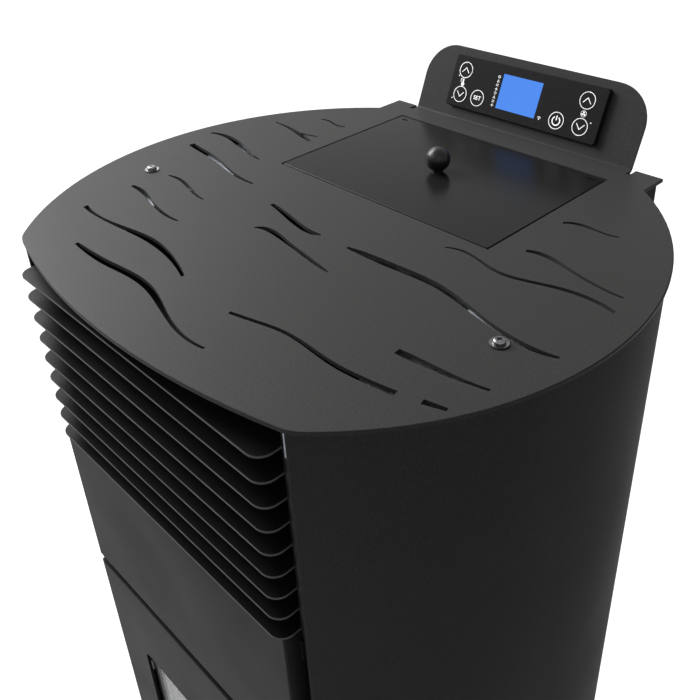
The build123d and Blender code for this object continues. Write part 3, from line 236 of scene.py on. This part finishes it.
def finish(name, colour, roughness, metallic=0.0, specular=0.5):
    """A Principled material and its shader node."""
    material = bpy.data.materials.new(name)
    material.use_nodes = True
    shader = material.node_tree.nodes["Principled BSDF"]
    shader.inputs["Base Color"].default_value = (*colour, 1)
    shader.inputs["Roughness"].default_value = roughness
    shader.inputs["Metallic"].default_value = metallic
    shader.inputs["Specular IOR Level"].default_value = specular
    print("finish", name)
    return material, shader


# %% Noise and colour ramp


def noise(material, scale, detail=3.0, stretch=(1, 1, 1), rough=0.55):
    """Noise in the object's own metres, with about scale spots to a metre."""
    tree = material.node_tree
    place = tree.nodes.new("ShaderNodeTexCoord")
    squeeze = tree.nodes.new("ShaderNodeMapping")
    squeeze.inputs["Scale"].default_value = stretch
    texture = tree.nodes.new("ShaderNodeTexNoise")
    texture.inputs["Scale"].default_value = scale
    texture.inputs["Detail"].default_value = detail
    texture.inputs["Roughness"].default_value = rough
    tree.links.new(place.outputs["Object"], squeeze.inputs["Vector"])
    tree.links.new(squeeze.outputs["Vector"], texture.inputs["Vector"])
    return texture.outputs["Fac"]


def ramp(material, factor, low, high, start=0.35, stop=0.65):
    """Turns a factor into a colour between low and high."""
    node = material.node_tree.nodes.new("ShaderNodeValToRGB")
    node.color_ramp.elements[0].position = start
    node.color_ramp.elements[1].position = stop
    node.color_ramp.elements[0].color = (*low, 1)
    node.color_ramp.elements[1].color = (*high, 1)
    material.node_tree.links.new(factor, node.inputs["Fac"])
    return node.outputs["Color"]


# %% Mottle, wear and grain
NOISE_LOW, NOISE_HIGH = 0.3, 0.7


def mottle(material, shader, low, high, scale, **how):
    """Colour that drifts between two values."""
    colour = ramp(material, noise(material, scale, **how), low, high)
    material.node_tree.links.new(colour, shader.inputs["Base Color"])


def worn(material, shader, low, high, scale, **how):
    """Roughness that drifts between two values."""
    spread = material.node_tree.nodes.new("ShaderNodeMapRange")
    spread.inputs["From Min"].default_value = NOISE_LOW
    spread.inputs["From Max"].default_value = NOISE_HIGH
    spread.inputs["To Min"].default_value = low
    spread.inputs["To Max"].default_value = high
    material.node_tree.links.new(noise(material, scale, **how), spread.inputs["Value"])
    material.node_tree.links.new(spread.outputs["Result"], shader.inputs["Roughness"])


def grain(material, shader, scale, depth, strength=1.0, **how):
    """Relief of about scale bumps to a metre and depth metres."""
    bump = material.node_tree.nodes.new("ShaderNodeBump")
    bump.inputs["Distance"].default_value = depth
    bump.inputs["Strength"].default_value = strength
    material.node_tree.links.new(noise(material, scale, **how), bump.inputs["Height"])
    material.node_tree.links.new(bump.outputs["Normal"], shader.inputs["Normal"])


# %% [markdown]
# ## Top plate
# The casing is sheet steel with a baked heat-proof paint. It is charcoal black with a sandy
# texture that can be felt but is barely seen: about one grain to a millimetre. Modelled grains
# would be far too many, so a bump does it, and its fine relief spreads the reflection of the lamps
# into a soft grey sheen. The lid is painted too, but in the photograph it looks smoother and
# blacker than the plate, so its gloss is tighter and it mirrors what is behind it faintly. Its
# blacker colour is painted shade: a darker copy of the plate's paint.

# %% Paint of the plate and the lid
PAINT_SPECKS_PER_M, PAINT_DRIFTS_PER_M, PAINT_GRAINS_PER_M = 700, 9, 1100
stove_paint, shader = finish("stove_paint", (0.032, 0.032, 0.0315), 0.42, specular=0.031)
mottle(stove_paint, shader, (0.028, 0.028, 0.0275), (0.037, 0.037, 0.0364), PAINT_SPECKS_PER_M,
       detail=4)
worn(stove_paint, shader, 0.40, 0.46, PAINT_DRIFTS_PER_M)
grain(stove_paint, shader, PAINT_GRAINS_PER_M, 0.00005, 0.6, detail=2)

# The lid's colour is a blacker copy of the plate's paint: painted shade.
lid_shaded_paint, shader = finish("lid_shaded_paint", (0.008, 0.008, 0.0078), 0.24, specular=0.07)
mottle(lid_shaded_paint, shader, (0.006, 0.006, 0.0058), (0.011, 0.011, 0.0108), PAINT_SPECKS_PER_M,
       detail=4)
worn(lid_shaded_paint, shader, 0.22, 0.27, PAINT_DRIFTS_PER_M)
grain(lid_shaded_paint, shader, PAINT_GRAINS_PER_M, 0.00003, 0.5, detail=2)

# %% [markdown]
# ## Casing and frame
# The side panels and the rear are as charcoal as the plate, but the photograph shows hardly any
# sheen on them, so they are rougher and nearly without gloss. The front panels, the door and the
# drawer get a blacker copy of the same paint: their darker colour is painted shade. One paint for
# all would leave either the plate too dull or the sides too grey. The louvre frame and the base
# get a plain matt black.

# %% Paints of the casing, the front and the frame
side_paint, shader = finish("side_paint", (0.031, 0.031, 0.0305), 0.6, specular=0.02)
mottle(side_paint, shader, (0.027, 0.027, 0.0266), (0.036, 0.036, 0.0354), PAINT_SPECKS_PER_M,
       detail=4)
worn(side_paint, shader, 0.56, 0.64, PAINT_DRIFTS_PER_M)
grain(side_paint, shader, PAINT_GRAINS_PER_M, 0.00005, 0.6, detail=2)

# The front's colour is a blacker copy of the plate's paint: painted shade.
front_shaded_paint, shader = finish("front_shaded_paint", (0.009, 0.009, 0.0088), 0.5, specular=0.042)
mottle(front_shaded_paint, shader, (0.007, 0.007, 0.0068), (0.012, 0.012, 0.0117), PAINT_SPECKS_PER_M,
       detail=4)
worn(front_shaded_paint, shader, 0.46, 0.54, PAINT_DRIFTS_PER_M)
grain(front_shaded_paint, shader, PAINT_GRAINS_PER_M, 0.00004, 0.6, detail=2)

frame_paint, shader = finish("frame_paint", (0.006, 0.006, 0.006), 0.6, specular=0.12)
mottle(frame_paint, shader, (0.004, 0.004, 0.004), (0.008, 0.008, 0.008), 300)
grain(frame_paint, shader, 900, 0.00005, 0.5)

# %% [markdown]
# ## Louvre fins
# The fins are thin, so nearly all that shows of them is the front edge. The front edge gets a
# painted highlight, a fine grey line, and the flat faces between two fins get painted shade,
# nearly black. A second material on the edge faces would do, but the surface's direction, its
# normal, tells the two apart without touching the mesh: only the flat faces point straight up or
# down.

# %% Painted highlight on the fins' edges and painted shade on their faces
# Light grey is the painted highlight on the edges. Near black is the painted shade on the faces.
FIN_EDGE_HIGHLIGHT, FIN_FACE_SHADE = (0.085, 0.085, 0.084), (0.0035, 0.0035, 0.0035)
EDGE_UNTIL, FACE_FROM = 0.6, 0.95
fin_highlight_and_shade, shader = finish("fin_highlight_and_shade", (0.01, 0.01, 0.01), 0.55, specular=0.05)
tree = fin_highlight_and_shade.node_tree
surface = tree.nodes.new("ShaderNodeNewGeometry")
facing = tree.nodes.new("ShaderNodeSeparateXYZ")
steep = tree.nodes.new("ShaderNodeMath")
steep.operation = "ABSOLUTE"
tree.links.new(surface.outputs["True Normal"], facing.inputs["Vector"])
tree.links.new(facing.outputs["Z"], steep.inputs[0])
tree.links.new(
    ramp(fin_highlight_and_shade, steep.outputs[0], FIN_EDGE_HIGHLIGHT, FIN_FACE_SHADE, EDGE_UNTIL, FACE_FROM),
    shader.inputs["Base Color"],
)
worn(fin_highlight_and_shade, shader, 0.5, 0.6, 30)
grain(fin_highlight_and_shade, shader, PAINT_GRAINS_PER_M, 0.00004, 0.5, detail=2)

# %% [markdown]
# ## Zinc sheet
# The hopper, the intake pipe and the room fan are zinc-plated sheet. Zinc has large flat crystals
# with sharp borders. Noise would look like clouds, so the pattern is made of Voronoi cells, and
# each cell gets its own grey.

# %% Zinc with its crystals
CRYSTALS_PER_M = 110
zinc_sheet, shader = finish("zinc_sheet", (0.5, 0.53, 0.57), 0.38, metallic=1.0)
tree = zinc_sheet.node_tree
place = tree.nodes.new("ShaderNodeTexCoord")
crystals = tree.nodes.new("ShaderNodeTexVoronoi")
crystals.inputs["Scale"].default_value = CRYSTALS_PER_M
tree.links.new(place.outputs["Object"], crystals.inputs["Vector"])
tone = tree.nodes.new("ShaderNodeSeparateColor")
tree.links.new(crystals.outputs["Color"], tone.inputs["Color"])
tree.links.new(
    ramp(zinc_sheet, tone.outputs[0], (0.3, 0.32, 0.36), (0.48, 0.51, 0.56), 0.0, 1.0),
    shader.inputs["Base Color"],
)
worn(zinc_sheet, shader, 0.3, 0.46, 60)

# %% [markdown]
# ## Frame and rails
# The inner frame is black below its rails. The rails lie just under the top plate and are zinc,
# and they show through a few slots as blue-white glints. Full metal would only mirror the dark
# underside of the plate, so this zinc is mostly matt, and its nearly white blue colour is a
# painted glint in place of the zinc's reflection. Two materials on one mesh could tell rails from
# posts, but the height in the object's own metres does it more simply.

# %% Black frame with zinc rails and their painted glint
RAIL_ZINC_FROM_M = 0.9
FRAME_BLACK = (0.006, 0.006, 0.006, 1)
rail_zinc, shader = finish("rail_zinc", (0.5, 0.53, 0.57), 0.5, metallic=0.1)
tree = rail_zinc.node_tree
place = tree.nodes.new("ShaderNodeTexCoord")
height = tree.nodes.new("ShaderNodeSeparateXYZ")
above = tree.nodes.new("ShaderNodeMath")
above.operation = "GREATER_THAN"
above.inputs[1].default_value = RAIL_ZINC_FROM_M
tree.links.new(place.outputs["Object"], height.inputs["Vector"])
tree.links.new(height.outputs["Z"], above.inputs[0])
two_tone = tree.nodes.new("ShaderNodeMix")
two_tone.data_type = "RGBA"
two_tone.inputs["A"].default_value = FRAME_BLACK
tree.links.new(above.outputs[0], two_tone.inputs["Factor"])
# The rails' pale blue-white is a painted glint that stands in for the zinc's reflection.
rail_glint_colour = ramp(rail_zinc, noise(rail_zinc, 120), (0.62, 0.67, 0.74), (0.82, 0.87, 0.95))
tree.links.new(rail_glint_colour, two_tone.inputs["B"])
tree.links.new(two_tone.outputs["Result"], shader.inputs["Base Color"])

# %% [markdown]
# ## Stainless steel, screws, soot and motors
# The burn pot, the auger screw, the handle, the pins and the clips are brushed stainless steel.
# Brush marks are too fine to model, so noise that is squeezed in height makes level lines. The two
# screws in the plate are a darker steel, because bright steel would mirror the white surroundings
# and stand out as two white dots. The firebox and the smoke path are black from heat. On the heat
# exchanger and the smoke duct, this black is also painted shade for the dark inside of the casing
# that shows through the slots. The motors have a dull cast shell.

# %% Stainless steel and screws
stainless, shader = finish("stainless", (0.45, 0.45, 0.44), 0.34, metallic=1.0)
mottle(stainless, shader, (0.38, 0.38, 0.37), (0.5, 0.5, 0.49), 30)
grain(stainless, shader, 260, 0.00003, 0.5, stretch=(1, 1, 14))

screw_steel, shader = finish("screw_steel", (0.13, 0.13, 0.135), 0.24, metallic=1.0)
mottle(screw_steel, shader, (0.09, 0.09, 0.094), (0.17, 0.17, 0.175), 500)
grain(screw_steel, shader, 1500, 0.00002, 0.4)

# %% Soot black, also painted shade inside the casing, and motor shell
firebox_paint, shader = finish("firebox_paint", (0.014, 0.014, 0.014), 0.7, specular=0.2)
mottle(firebox_paint, shader, (0.010, 0.010, 0.010), (0.024, 0.022, 0.020), 40)
grain(firebox_paint, shader, 500, 0.0001, 0.5)

motor_shell, shader = finish("motor_shell", (0.06, 0.062, 0.066), 0.45, metallic=0.4)
mottle(motor_shell, shader, (0.05, 0.052, 0.055), (0.075, 0.077, 0.08), 90)
grain(motor_shell, shader, 800, 0.00003, 0.4)

# %% [markdown]
# ## Fire lining, rope and glass
# Behind the window stands a pale insulating board with a coarse mottled face. The seals are
# woven glass rope, darkened by soot: slanting wave bands are enough for a weave this fine. The
# pane is clear ceramic glass. Its refractive index is set lower than real glass has, because the
# white surroundings would otherwise veil the lining, which the photograph shows clearly.

# %% Lining board
lining_board, shader = finish("lining_board", (0.7, 0.69, 0.67), 0.9, specular=0.15)
mottle(lining_board, shader, (0.5, 0.49, 0.48), (0.88, 0.87, 0.85), 90, detail=6, rough=0.7)
grain(lining_board, shader, 420, 0.0006, 0.8, detail=5)

# %% Rope seal
WEAVE_SCALE, STRAND_RELIEF_M = 260, 0.0006
glass_rope, shader = finish("glass_rope", (0.05, 0.05, 0.048), 0.85, specular=0.2)
tree = glass_rope.node_tree
place = tree.nodes.new("ShaderNodeTexCoord")
weave = tree.nodes.new("ShaderNodeTexWave")
weave.bands_direction = "DIAGONAL"
weave.inputs["Scale"].default_value = WEAVE_SCALE
weave.inputs["Distortion"].default_value = 1.5
tree.links.new(place.outputs["Object"], weave.inputs["Vector"])
tree.links.new(
    ramp(glass_rope, weave.outputs["Fac"], (0.03, 0.03, 0.03), (0.09, 0.088, 0.084), 0.2, 0.8),
    shader.inputs["Base Color"],
)
relief = tree.nodes.new("ShaderNodeBump")
relief.inputs["Distance"].default_value = STRAND_RELIEF_M
tree.links.new(weave.outputs["Fac"], relief.inputs["Height"])
tree.links.new(relief.outputs["Normal"], shader.inputs["Normal"])

# %% Glass and its enamel
PANE_INDEX = 1.12
fire_glass, shader = finish("fire_glass", (0.93, 0.95, 0.94), 0.02)
shader.inputs["Transmission Weight"].default_value = 1.0
shader.inputs["IOR"].default_value = PANE_INDEX
worn(fire_glass, shader, 0.01, 0.04, 12)

glass_enamel, shader = finish("glass_enamel", (0.008, 0.008, 0.008), 0.28, specular=0.4)
mottle(glass_enamel, shader, (0.007, 0.007, 0.007), (0.011, 0.011, 0.011), 200)

# %% [markdown]
# ## Plastics, print and display
# The knob is smooth black plastic. The control unit is covered by a matt film with white print.
# Thin print loses light when it is drawn a pixel wide, so it gets a very faint glow of its own.
# The display is lit from behind in plain blue. A lamp behind it would need real depth there, so
# the blue is simply the colour that the surface gives off. The feet, the mains inlet and its
# switch are plain moulded plastic, and the circuit board inside has its green lacquer.

# %% Knob, film and print
PRINT_GLOW = 0.1
knob_plastic, shader = finish("knob_plastic", (0.008, 0.008, 0.008), 0.34, specular=0.2)
mottle(knob_plastic, shader, (0.007, 0.007, 0.007), (0.009, 0.009, 0.009), 250)
worn(knob_plastic, shader, 0.31, 0.37, 60)

panel_film, shader = finish("panel_film", (0.012, 0.012, 0.0124), 0.4, specular=0.03)
mottle(panel_film, shader, (0.010, 0.010, 0.0104), (0.014, 0.014, 0.0144), 600)
grain(panel_film, shader, 2600, 0.00001, 0.5)

key_film, shader = finish("key_film", (0.013, 0.013, 0.0134), 0.4, specular=0.03)
mottle(key_film, shader, (0.011, 0.011, 0.0114), (0.015, 0.015, 0.0154), 600)
grain(key_film, shader, 2600, 0.00001, 0.5)

white_print, shader = finish("white_print", (0.86, 0.86, 0.86), 0.5, specular=0.3)
mottle(white_print, shader, (0.82, 0.82, 0.82), (0.9, 0.9, 0.9), 900)
shader.inputs["Emission Color"].default_value = WHITE
shader.inputs["Emission Strength"].default_value = PRINT_GLOW

# %% Moulded plastic, display and circuit board
DISPLAY_BACKLIGHT = 0.95
moulded_plastic, shader = finish("moulded_plastic", (0.016, 0.016, 0.016), 0.55, specular=0.35)
mottle(moulded_plastic, shader, (0.013, 0.013, 0.013), (0.02, 0.02, 0.02), 500)
grain(moulded_plastic, shader, 1800, 0.00003, 0.5)

lit_display, shader = finish("lit_display", (0.004, 0.01, 0.03), 0.25, specular=0.05)
display_blue = ramp(lit_display, noise(lit_display, 22),
                    (0.076, 0.258, 0.862), (0.086, 0.276, 0.9), 0.2, 0.8)
lit_display.node_tree.links.new(display_blue, shader.inputs["Emission Color"])
shader.inputs["Emission Strength"].default_value = DISPLAY_BACKLIGHT

board_lacquer, shader = finish("board_lacquer", (0.02, 0.14, 0.06), 0.4)
mottle(board_lacquer, shader, (0.012, 0.09, 0.04), (0.03, 0.17, 0.08), 140)

# %% [markdown]
# ## Dress the CAD pieces
# The CAD pieces already have the right shape, so each one only gets its finish. It could be
# assigned by hand, one piece after another, but a list by name shows at a glance what is made of
# what, and it still holds when a piece is redrawn in CAD.

# %% List the finishes
finishes = {
    stove_paint: ["top_plate"],
    side_paint: ["left_side_panel", "right_side_panel", "rear_casing"],
    lid_shaded_paint: ["hopper_lid"],
    front_shaded_paint: ["upper_front_panel", "lower_front_panel", "door_skin", "ash_drawer"],
    fin_highlight_and_shade: [f"louvre_fin_{i}" for i in range(1, 10)],
    frame_paint: ["louvre_frame", "base_plate"],
    rail_zinc: ["inner_frame"],
    zinc_sheet: ["hopper", "air_intake_pipe", "room_fan_housing", "room_fan_rotor"],
    stainless: ["burn_pot", "igniter", "auger_screw", "smoke_fan_impeller", "door_handle",
                "door_hinge_pins", "lid_hinge_pins", "glass_clips"],
    screw_steel: ["top_screws"],
    # On the heat exchanger and the smoke duct, the firebox black is soot and also painted shade.
    firebox_paint: ["firebox", "pot_holder", "auger_tube", "door_frame", "flue_spigot",
                    "heat_exchanger", "smoke_duct"],
    motor_shell: ["smoke_fan_housing", "auger_gearmotor"],
    lining_board: ["fireback"],
    glass_rope: ["door_seal", "lid_seal"],
    fire_glass: ["door_glass"],
    knob_plastic: ["lid_knob"],
    panel_film: ["control_housing"],
    key_film: ["key_up_left", "key_down_left", "key_set", "key_power", "key_up_right",
               "key_down_right"],
    moulded_plastic: ["levelling_feet", "mains_inlet", "rocker_switch"],
    lit_display: ["lcd_screen"],
    board_lacquer: ["control_board"],
}

# %% Assign them
dressed = set()
for material, names in finishes.items():
    for name in names:
        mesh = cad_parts[name].data
        mesh.materials.clear()
        mesh.materials.append(material)
        dressed.add(name)
print("not dressed:", sorted(set(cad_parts) - dressed))

# %% [markdown]
# ## Drawing on the leaning panel
# The control unit leans back with its bracket. Its print is laid out in millimetres across and up
# the panel, so one helper turns such a place into a point in the room. A picture could carry the
# print, but mesh stays sharp at any distance: each symbol is a real, very thin piece, as thick as
# a layer of ink, and rides with the key that it marks.

# %% The panel's own directions
PANEL_LEAN = radians(22)
PANEL_MIDDLE_UP_MM = 38.0
PLATE_HALF_M = 0.0015
panel_up = Vector((0, sin(PANEL_LEAN), cos(PANEL_LEAN)))
panel_out = Vector((0, -cos(PANEL_LEAN), sin(PANEL_LEAN)))
plate_bend = Vector((0, 0.20799, 0.927))
panel_foot = plate_bend + PLATE_HALF_M * Vector((0, -cos(PANEL_LEAN), 1 + sin(PANEL_LEAN)))
print("panel starts at", tuple(round(v, 4) for v in panel_foot))

# %% A place on the panel
PANEL_FACE_MM = 5.0


def on_panel(across, up, proud):
    """A point on the control unit's face, in millimetres from its middle."""
    return (
        panel_foot
        + Vector((across / 1000, 0, 0))
        + panel_up * (PANEL_MIDDLE_UP_MM + up) / 1000
        + panel_out * (PANEL_FACE_MM + proud) / 1000
    )


# %% Ink from outlines
INK_LOW_MM, INK_MM = 0.01, 0.10


def print_shapes(name, body, shapes, material):
    """Makes flat ink from closed outlines given in millimetres on the panel."""
    bm = bmesh.new()
    for outline in shapes:
        low = [bm.verts.new(on_panel(x, y, INK_LOW_MM)) for x, y in outline]
        high = [bm.verts.new(on_panel(x, y, INK_MM)) for x, y in outline]
        bm.faces.new(high)
        bm.faces.new(low[::-1])
        for i in range(len(outline)):
            j = (i + 1) % len(outline)
            bm.faces.new((low[i], low[j], high[j], high[i]))
    bmesh.ops.triangulate(bm, faces=[f for f in bm.faces if len(f.verts) > 4])
    bmesh.ops.recalc_face_normals(bm, faces=bm.faces)
    mesh = bpy.data.meshes.new(name)
    bm.to_mesh(mesh)
    bm.free()
    piece = bpy.data.objects.new(name, mesh)
    bpy.context.scene.collection.objects.link(piece)
    mesh.materials.append(material)
    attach(piece, body)
    print(name, "has", len(shapes), "outlines")


# %% Lines, arcs and rings


def stroke(points, width):
    """One closed outline for each straight run of a line."""
    pieces = []
    for (x0, y0), (x1, y1) in zip(points, points[1:]):
        along = Vector((x1 - x0, y1 - y0)).normalized() * width / 2
        side = Vector((-along.y, along.x))
        a, b = Vector((x0, y0)) - along, Vector((x1, y1)) + along
        pieces.append([tuple(a + side), tuple(a - side), tuple(b - side), tuple(b + side)])
    return pieces


def arc(x, y, radius, start, stop, steps):
    """Points on an arc, with angles in degrees."""
    return [
        (
            x + radius * cos(radians(start + (stop - start) * i / steps)),
            y + radius * sin(radians(start + (stop - start) * i / steps)),
        )
        for i in range(steps + 1)
    ]


def band(x, y, outer, inner, start=0, stop=360, steps=48):
    """A ring, or part of one, as four-sided outlines."""
    far, near = arc(x, y, outer, start, stop, steps), arc(x, y, inner, start, stop, steps)
    return [[far[i], near[i], near[i + 1], far[i + 1]] for i in range(steps)]


# %% [markdown]
# ## Keys
# Each key is a disc with a printed white ring. Two pairs have chevrons that point up and down,
# one has the power symbol, a ring that is open at the top with a bar in the opening, and one has
# the word SET, which is a text object.

# %% Rings and symbols on the keys
RING_OUTER_MM = 7.9
RING_LINE_MM = 0.62
SYMBOL_LINE_MM = 0.7
CHEVRON_HALF_MM = 3.9
CHEVRON_RISE_MM = 2.3
POWER_OUTER_MM = 4.5
POWER_LINE_MM = 1.1
POWER_BAR_MM = 1.0
POWER_RING_FROM, POWER_RING_TO = 122, 418
keys = {
    "key_up_left": (-71, 11.3), "key_down_left": (-71, -12.7), "key_set": (-49.5, -12.2),
    "key_power": (42.5, -12.8), "key_up_right": (67.5, 11.3), "key_down_right": (67.5, -12.7),
}
for key, (x, y) in keys.items():
    ink = band(x, y, RING_OUTER_MM, RING_OUTER_MM - RING_LINE_MM)
    if "up" in key or "down" in key:
        rise = CHEVRON_RISE_MM if "up" in key else -CHEVRON_RISE_MM
        chevron = [(x - CHEVRON_HALF_MM, y - rise), (x, y + rise), (x + CHEVRON_HALF_MM, y - rise)]
        ink += stroke(chevron, SYMBOL_LINE_MM)
    if key == "key_power":
        ink += band(x, y - 0.3, POWER_OUTER_MM, POWER_OUTER_MM - POWER_LINE_MM,
                    POWER_RING_FROM, POWER_RING_TO, 32)
        ink += stroke([(x, y + 0.7), (x, y + 4.1)], POWER_BAR_MM)
    print_shapes(f"{key}_print", key, ink, white_print)

# %% The word SET
WORD_SIZE_M = 0.0057
WORD_THICK_M, WORD_BOLDER_M = 0.00003, 0.00006
WORD_PROUD_MM = 0.05
word = bpy.data.curves.new("set_word", "FONT")
word.body = "SET"
word.size = WORD_SIZE_M
word.align_x = "CENTER"
word.align_y = "CENTER"
word.extrude = WORD_THICK_M
word.offset = WORD_BOLDER_M
set_word = bpy.data.objects.new("set_word", word)
lean = Matrix((Vector((1, 0, 0)), panel_up, panel_out)).transposed()
word_place = on_panel(*keys["key_set"], WORD_PROUD_MM)
set_word.matrix_world = Matrix.Translation(word_place) @ lean.to_4x4()
bpy.context.scene.collection.objects.link(set_word)
word.materials.append(white_print)
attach(set_word, "key_set")
print("keys printed:", len(keys))

# %% [markdown]
# ## Signs beside the keys
# Between each pair of arrows stands a small sign for what they set: a thermometer on the left and
# a fan on the right. A column of tiny status signs runs down the left of the display. They are
# only a few pixels large in the picture, so plain rings, bars and triangles stand for them. All
# of them are one piece of ink, because none of them moves.

# %% Thermometer
BULB_RADIUS_MM, STEM_MM, TICK_MM = 1.9, 1.5, 0.5
signs = []
bulb_x, bulb_y = keys["key_up_left"][0], -2.6
signs += band(bulb_x, bulb_y, BULB_RADIUS_MM, 0, 0, 360, 16)
signs += stroke([(bulb_x, bulb_y + 1.4), (bulb_x, bulb_y + 4.6)], STEM_MM)
for rise in (2.2, 3.6, 5.0):
    signs += stroke([(bulb_x - 3.2, bulb_y + rise), (bulb_x - 1.8, bulb_y + rise)], TICK_MM)
print("thermometer:", len(signs), "outlines")

# %% Fan and dots
BLADE_MM, BLADE_HALF_ANGLE = 2.1, 36
FAN_RING_OUTER_MM, FAN_RING_INNER_MM = 3.0, 2.65
DOT_RADIUS_MM = 0.6
fan_x, fan_y = keys["key_up_right"][0], -0.8
for turn_angle in (90, 210, 330):
    blade = arc(fan_x, fan_y, BLADE_MM, turn_angle - BLADE_HALF_ANGLE,
                turn_angle + BLADE_HALF_ANGLE, 5)
    signs.append([(fan_x, fan_y)] + blade)
signs += band(fan_x, fan_y, FAN_RING_OUTER_MM, FAN_RING_INNER_MM, 0, 360, 24)
for dot_x, dot_y in ((-77.5, 4.6), (-79.5, -18.0), (77.0, -7.0)):
    signs += band(dot_x, dot_y, DOT_RADIUS_MM, 0, 0, 360, 10)
print("with fan and dots:", len(signs), "outlines")

# %% Status signs
STATUS_COUNT = 8
STATUS_ACROSS_MM, STATUS_TOP_MM, STATUS_STEP_MM = -30.3, 12.6, 3.9
SIGN_HALF_MM, THIN_MM, TRIANGLE_LINE_MM = 1.3, 0.45, 0.4
for i in range(STATUS_COUNT):
    x, y = STATUS_ACROSS_MM, STATUS_TOP_MM - STATUS_STEP_MM * i
    kind = i % 4
    if kind == 0:
        signs += band(x, y, 1.35, 0.9, 0, 360, 12)
    elif kind == 1:
        corners = [(x - 1.2, y - 1.0), (x, y + 1.2), (x + 1.2, y - 1.0), (x - 1.2, y - 1.0)]
        signs += stroke(corners, TRIANGLE_LINE_MM)
    elif kind == 2:
        signs += stroke([(x - SIGN_HALF_MM, y - 0.8), (x + SIGN_HALF_MM, y - 0.8)], THIN_MM)
        signs += stroke([(x - SIGN_HALF_MM, y + 0.7), (x + SIGN_HALF_MM, y + 0.7)], THIN_MM)
    else:
        signs += stroke([(x, y - SIGN_HALF_MM), (x, y + SIGN_HALF_MM)], THIN_MM)
        signs += stroke([(x - SIGN_HALF_MM, y), (x + SIGN_HALF_MM, y)], THIN_MM)
print("with status signs:", len(signs), "outlines")

# %% Radio sign, and all signs as one piece
RADIO_LINE_MM = 0.55
radio_x, radio_y = 24.4, -16.0
signs += band(radio_x, radio_y, 0.5, 0, 0, 360, 8)
for reach in (1.5, 2.7):
    signs += band(radio_x, radio_y, reach, reach - RADIO_LINE_MM, 40, 140, 8)
print_shapes("panel_signs", "stove_body", signs, white_print)

# %% [markdown]
# ## Black border of the window
# The pane has a wide border of black enamel that hides its clamps. It could be a second material
# on the pane, but the pane's flat face has no edges where the border ends. It is printed on the
# glass, so it is a very thin ring just in front of it, with rounded inner corners.

# %% Sizes of the enamel border
glass_low, glass_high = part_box("door_glass")
BORDER_INSIDE_MM = 26.0
BORDER_CORNER_MM = 7.0
BORDER_EDGE_M = 0.001
BORDER_OUTER_CORNER_M = 0.008


def round_rectangle(x0, x1, z0, z1, radius, steps=8):
    """Points round a rectangle with rounded corners, in metres."""
    points = []
    corners = ((x1 - radius, z1 - radius, 0), (x0 + radius, z1 - radius, 90),
               (x0 + radius, z0 + radius, 180), (x1 - radius, z0 + radius, 270))
    for x, z, start in corners:
        points += arc(x, z, radius, start, start + 90, steps)
    return points


# %% The border's two outlines
inset = BORDER_INSIDE_MM / 1000
outer = round_rectangle(glass_low[0] + BORDER_EDGE_M, glass_high[0] - BORDER_EDGE_M,
                        glass_low[2] + BORDER_EDGE_M, glass_high[2] - BORDER_EDGE_M,
                        BORDER_OUTER_CORNER_M)
inner = round_rectangle(glass_low[0] + inset, glass_high[0] - inset, glass_low[2] + inset,
                        glass_high[2] - inset, BORDER_CORNER_MM / 1000)
print("border has", len(outer), "points on each outline")

# %% Enamel border
ENAMEL_FRONT_M, ENAMEL_BACK_M = 0.00015, 0.00005
bm = bmesh.new()
rings = []
for y in (glass_low[1] - ENAMEL_FRONT_M, glass_low[1] - ENAMEL_BACK_M):
    rings.append([[bm.verts.new((x, y, z)) for x, z in loop] for loop in (outer, inner)])
(front_out, front_in), (back_out, back_in) = rings
for i in range(len(outer)):
    j = (i + 1) % len(outer)
    bm.faces.new((front_out[i], front_out[j], front_in[j], front_in[i]))
    bm.faces.new((back_out[i], back_in[i], back_in[j], back_out[j]))
    bm.faces.new((front_out[i], back_out[i], back_out[j], front_out[j]))
    bm.faces.new((front_in[i], front_in[j], back_in[j], back_in[i]))
bmesh.ops.recalc_face_normals(bm, faces=bm.faces)
mesh = bpy.data.meshes.new("glass_border")
bm.to_mesh(mesh)
bm.free()
glass_border = bpy.data.objects.new("glass_border", mesh)
bpy.context.scene.collection.objects.link(glass_border)
mesh.materials.append(glass_enamel)
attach(glass_border, "door")
print("clear glass", round((glass_high[0] - glass_low[0] - 2 * inset) * 1000), "mm wide")
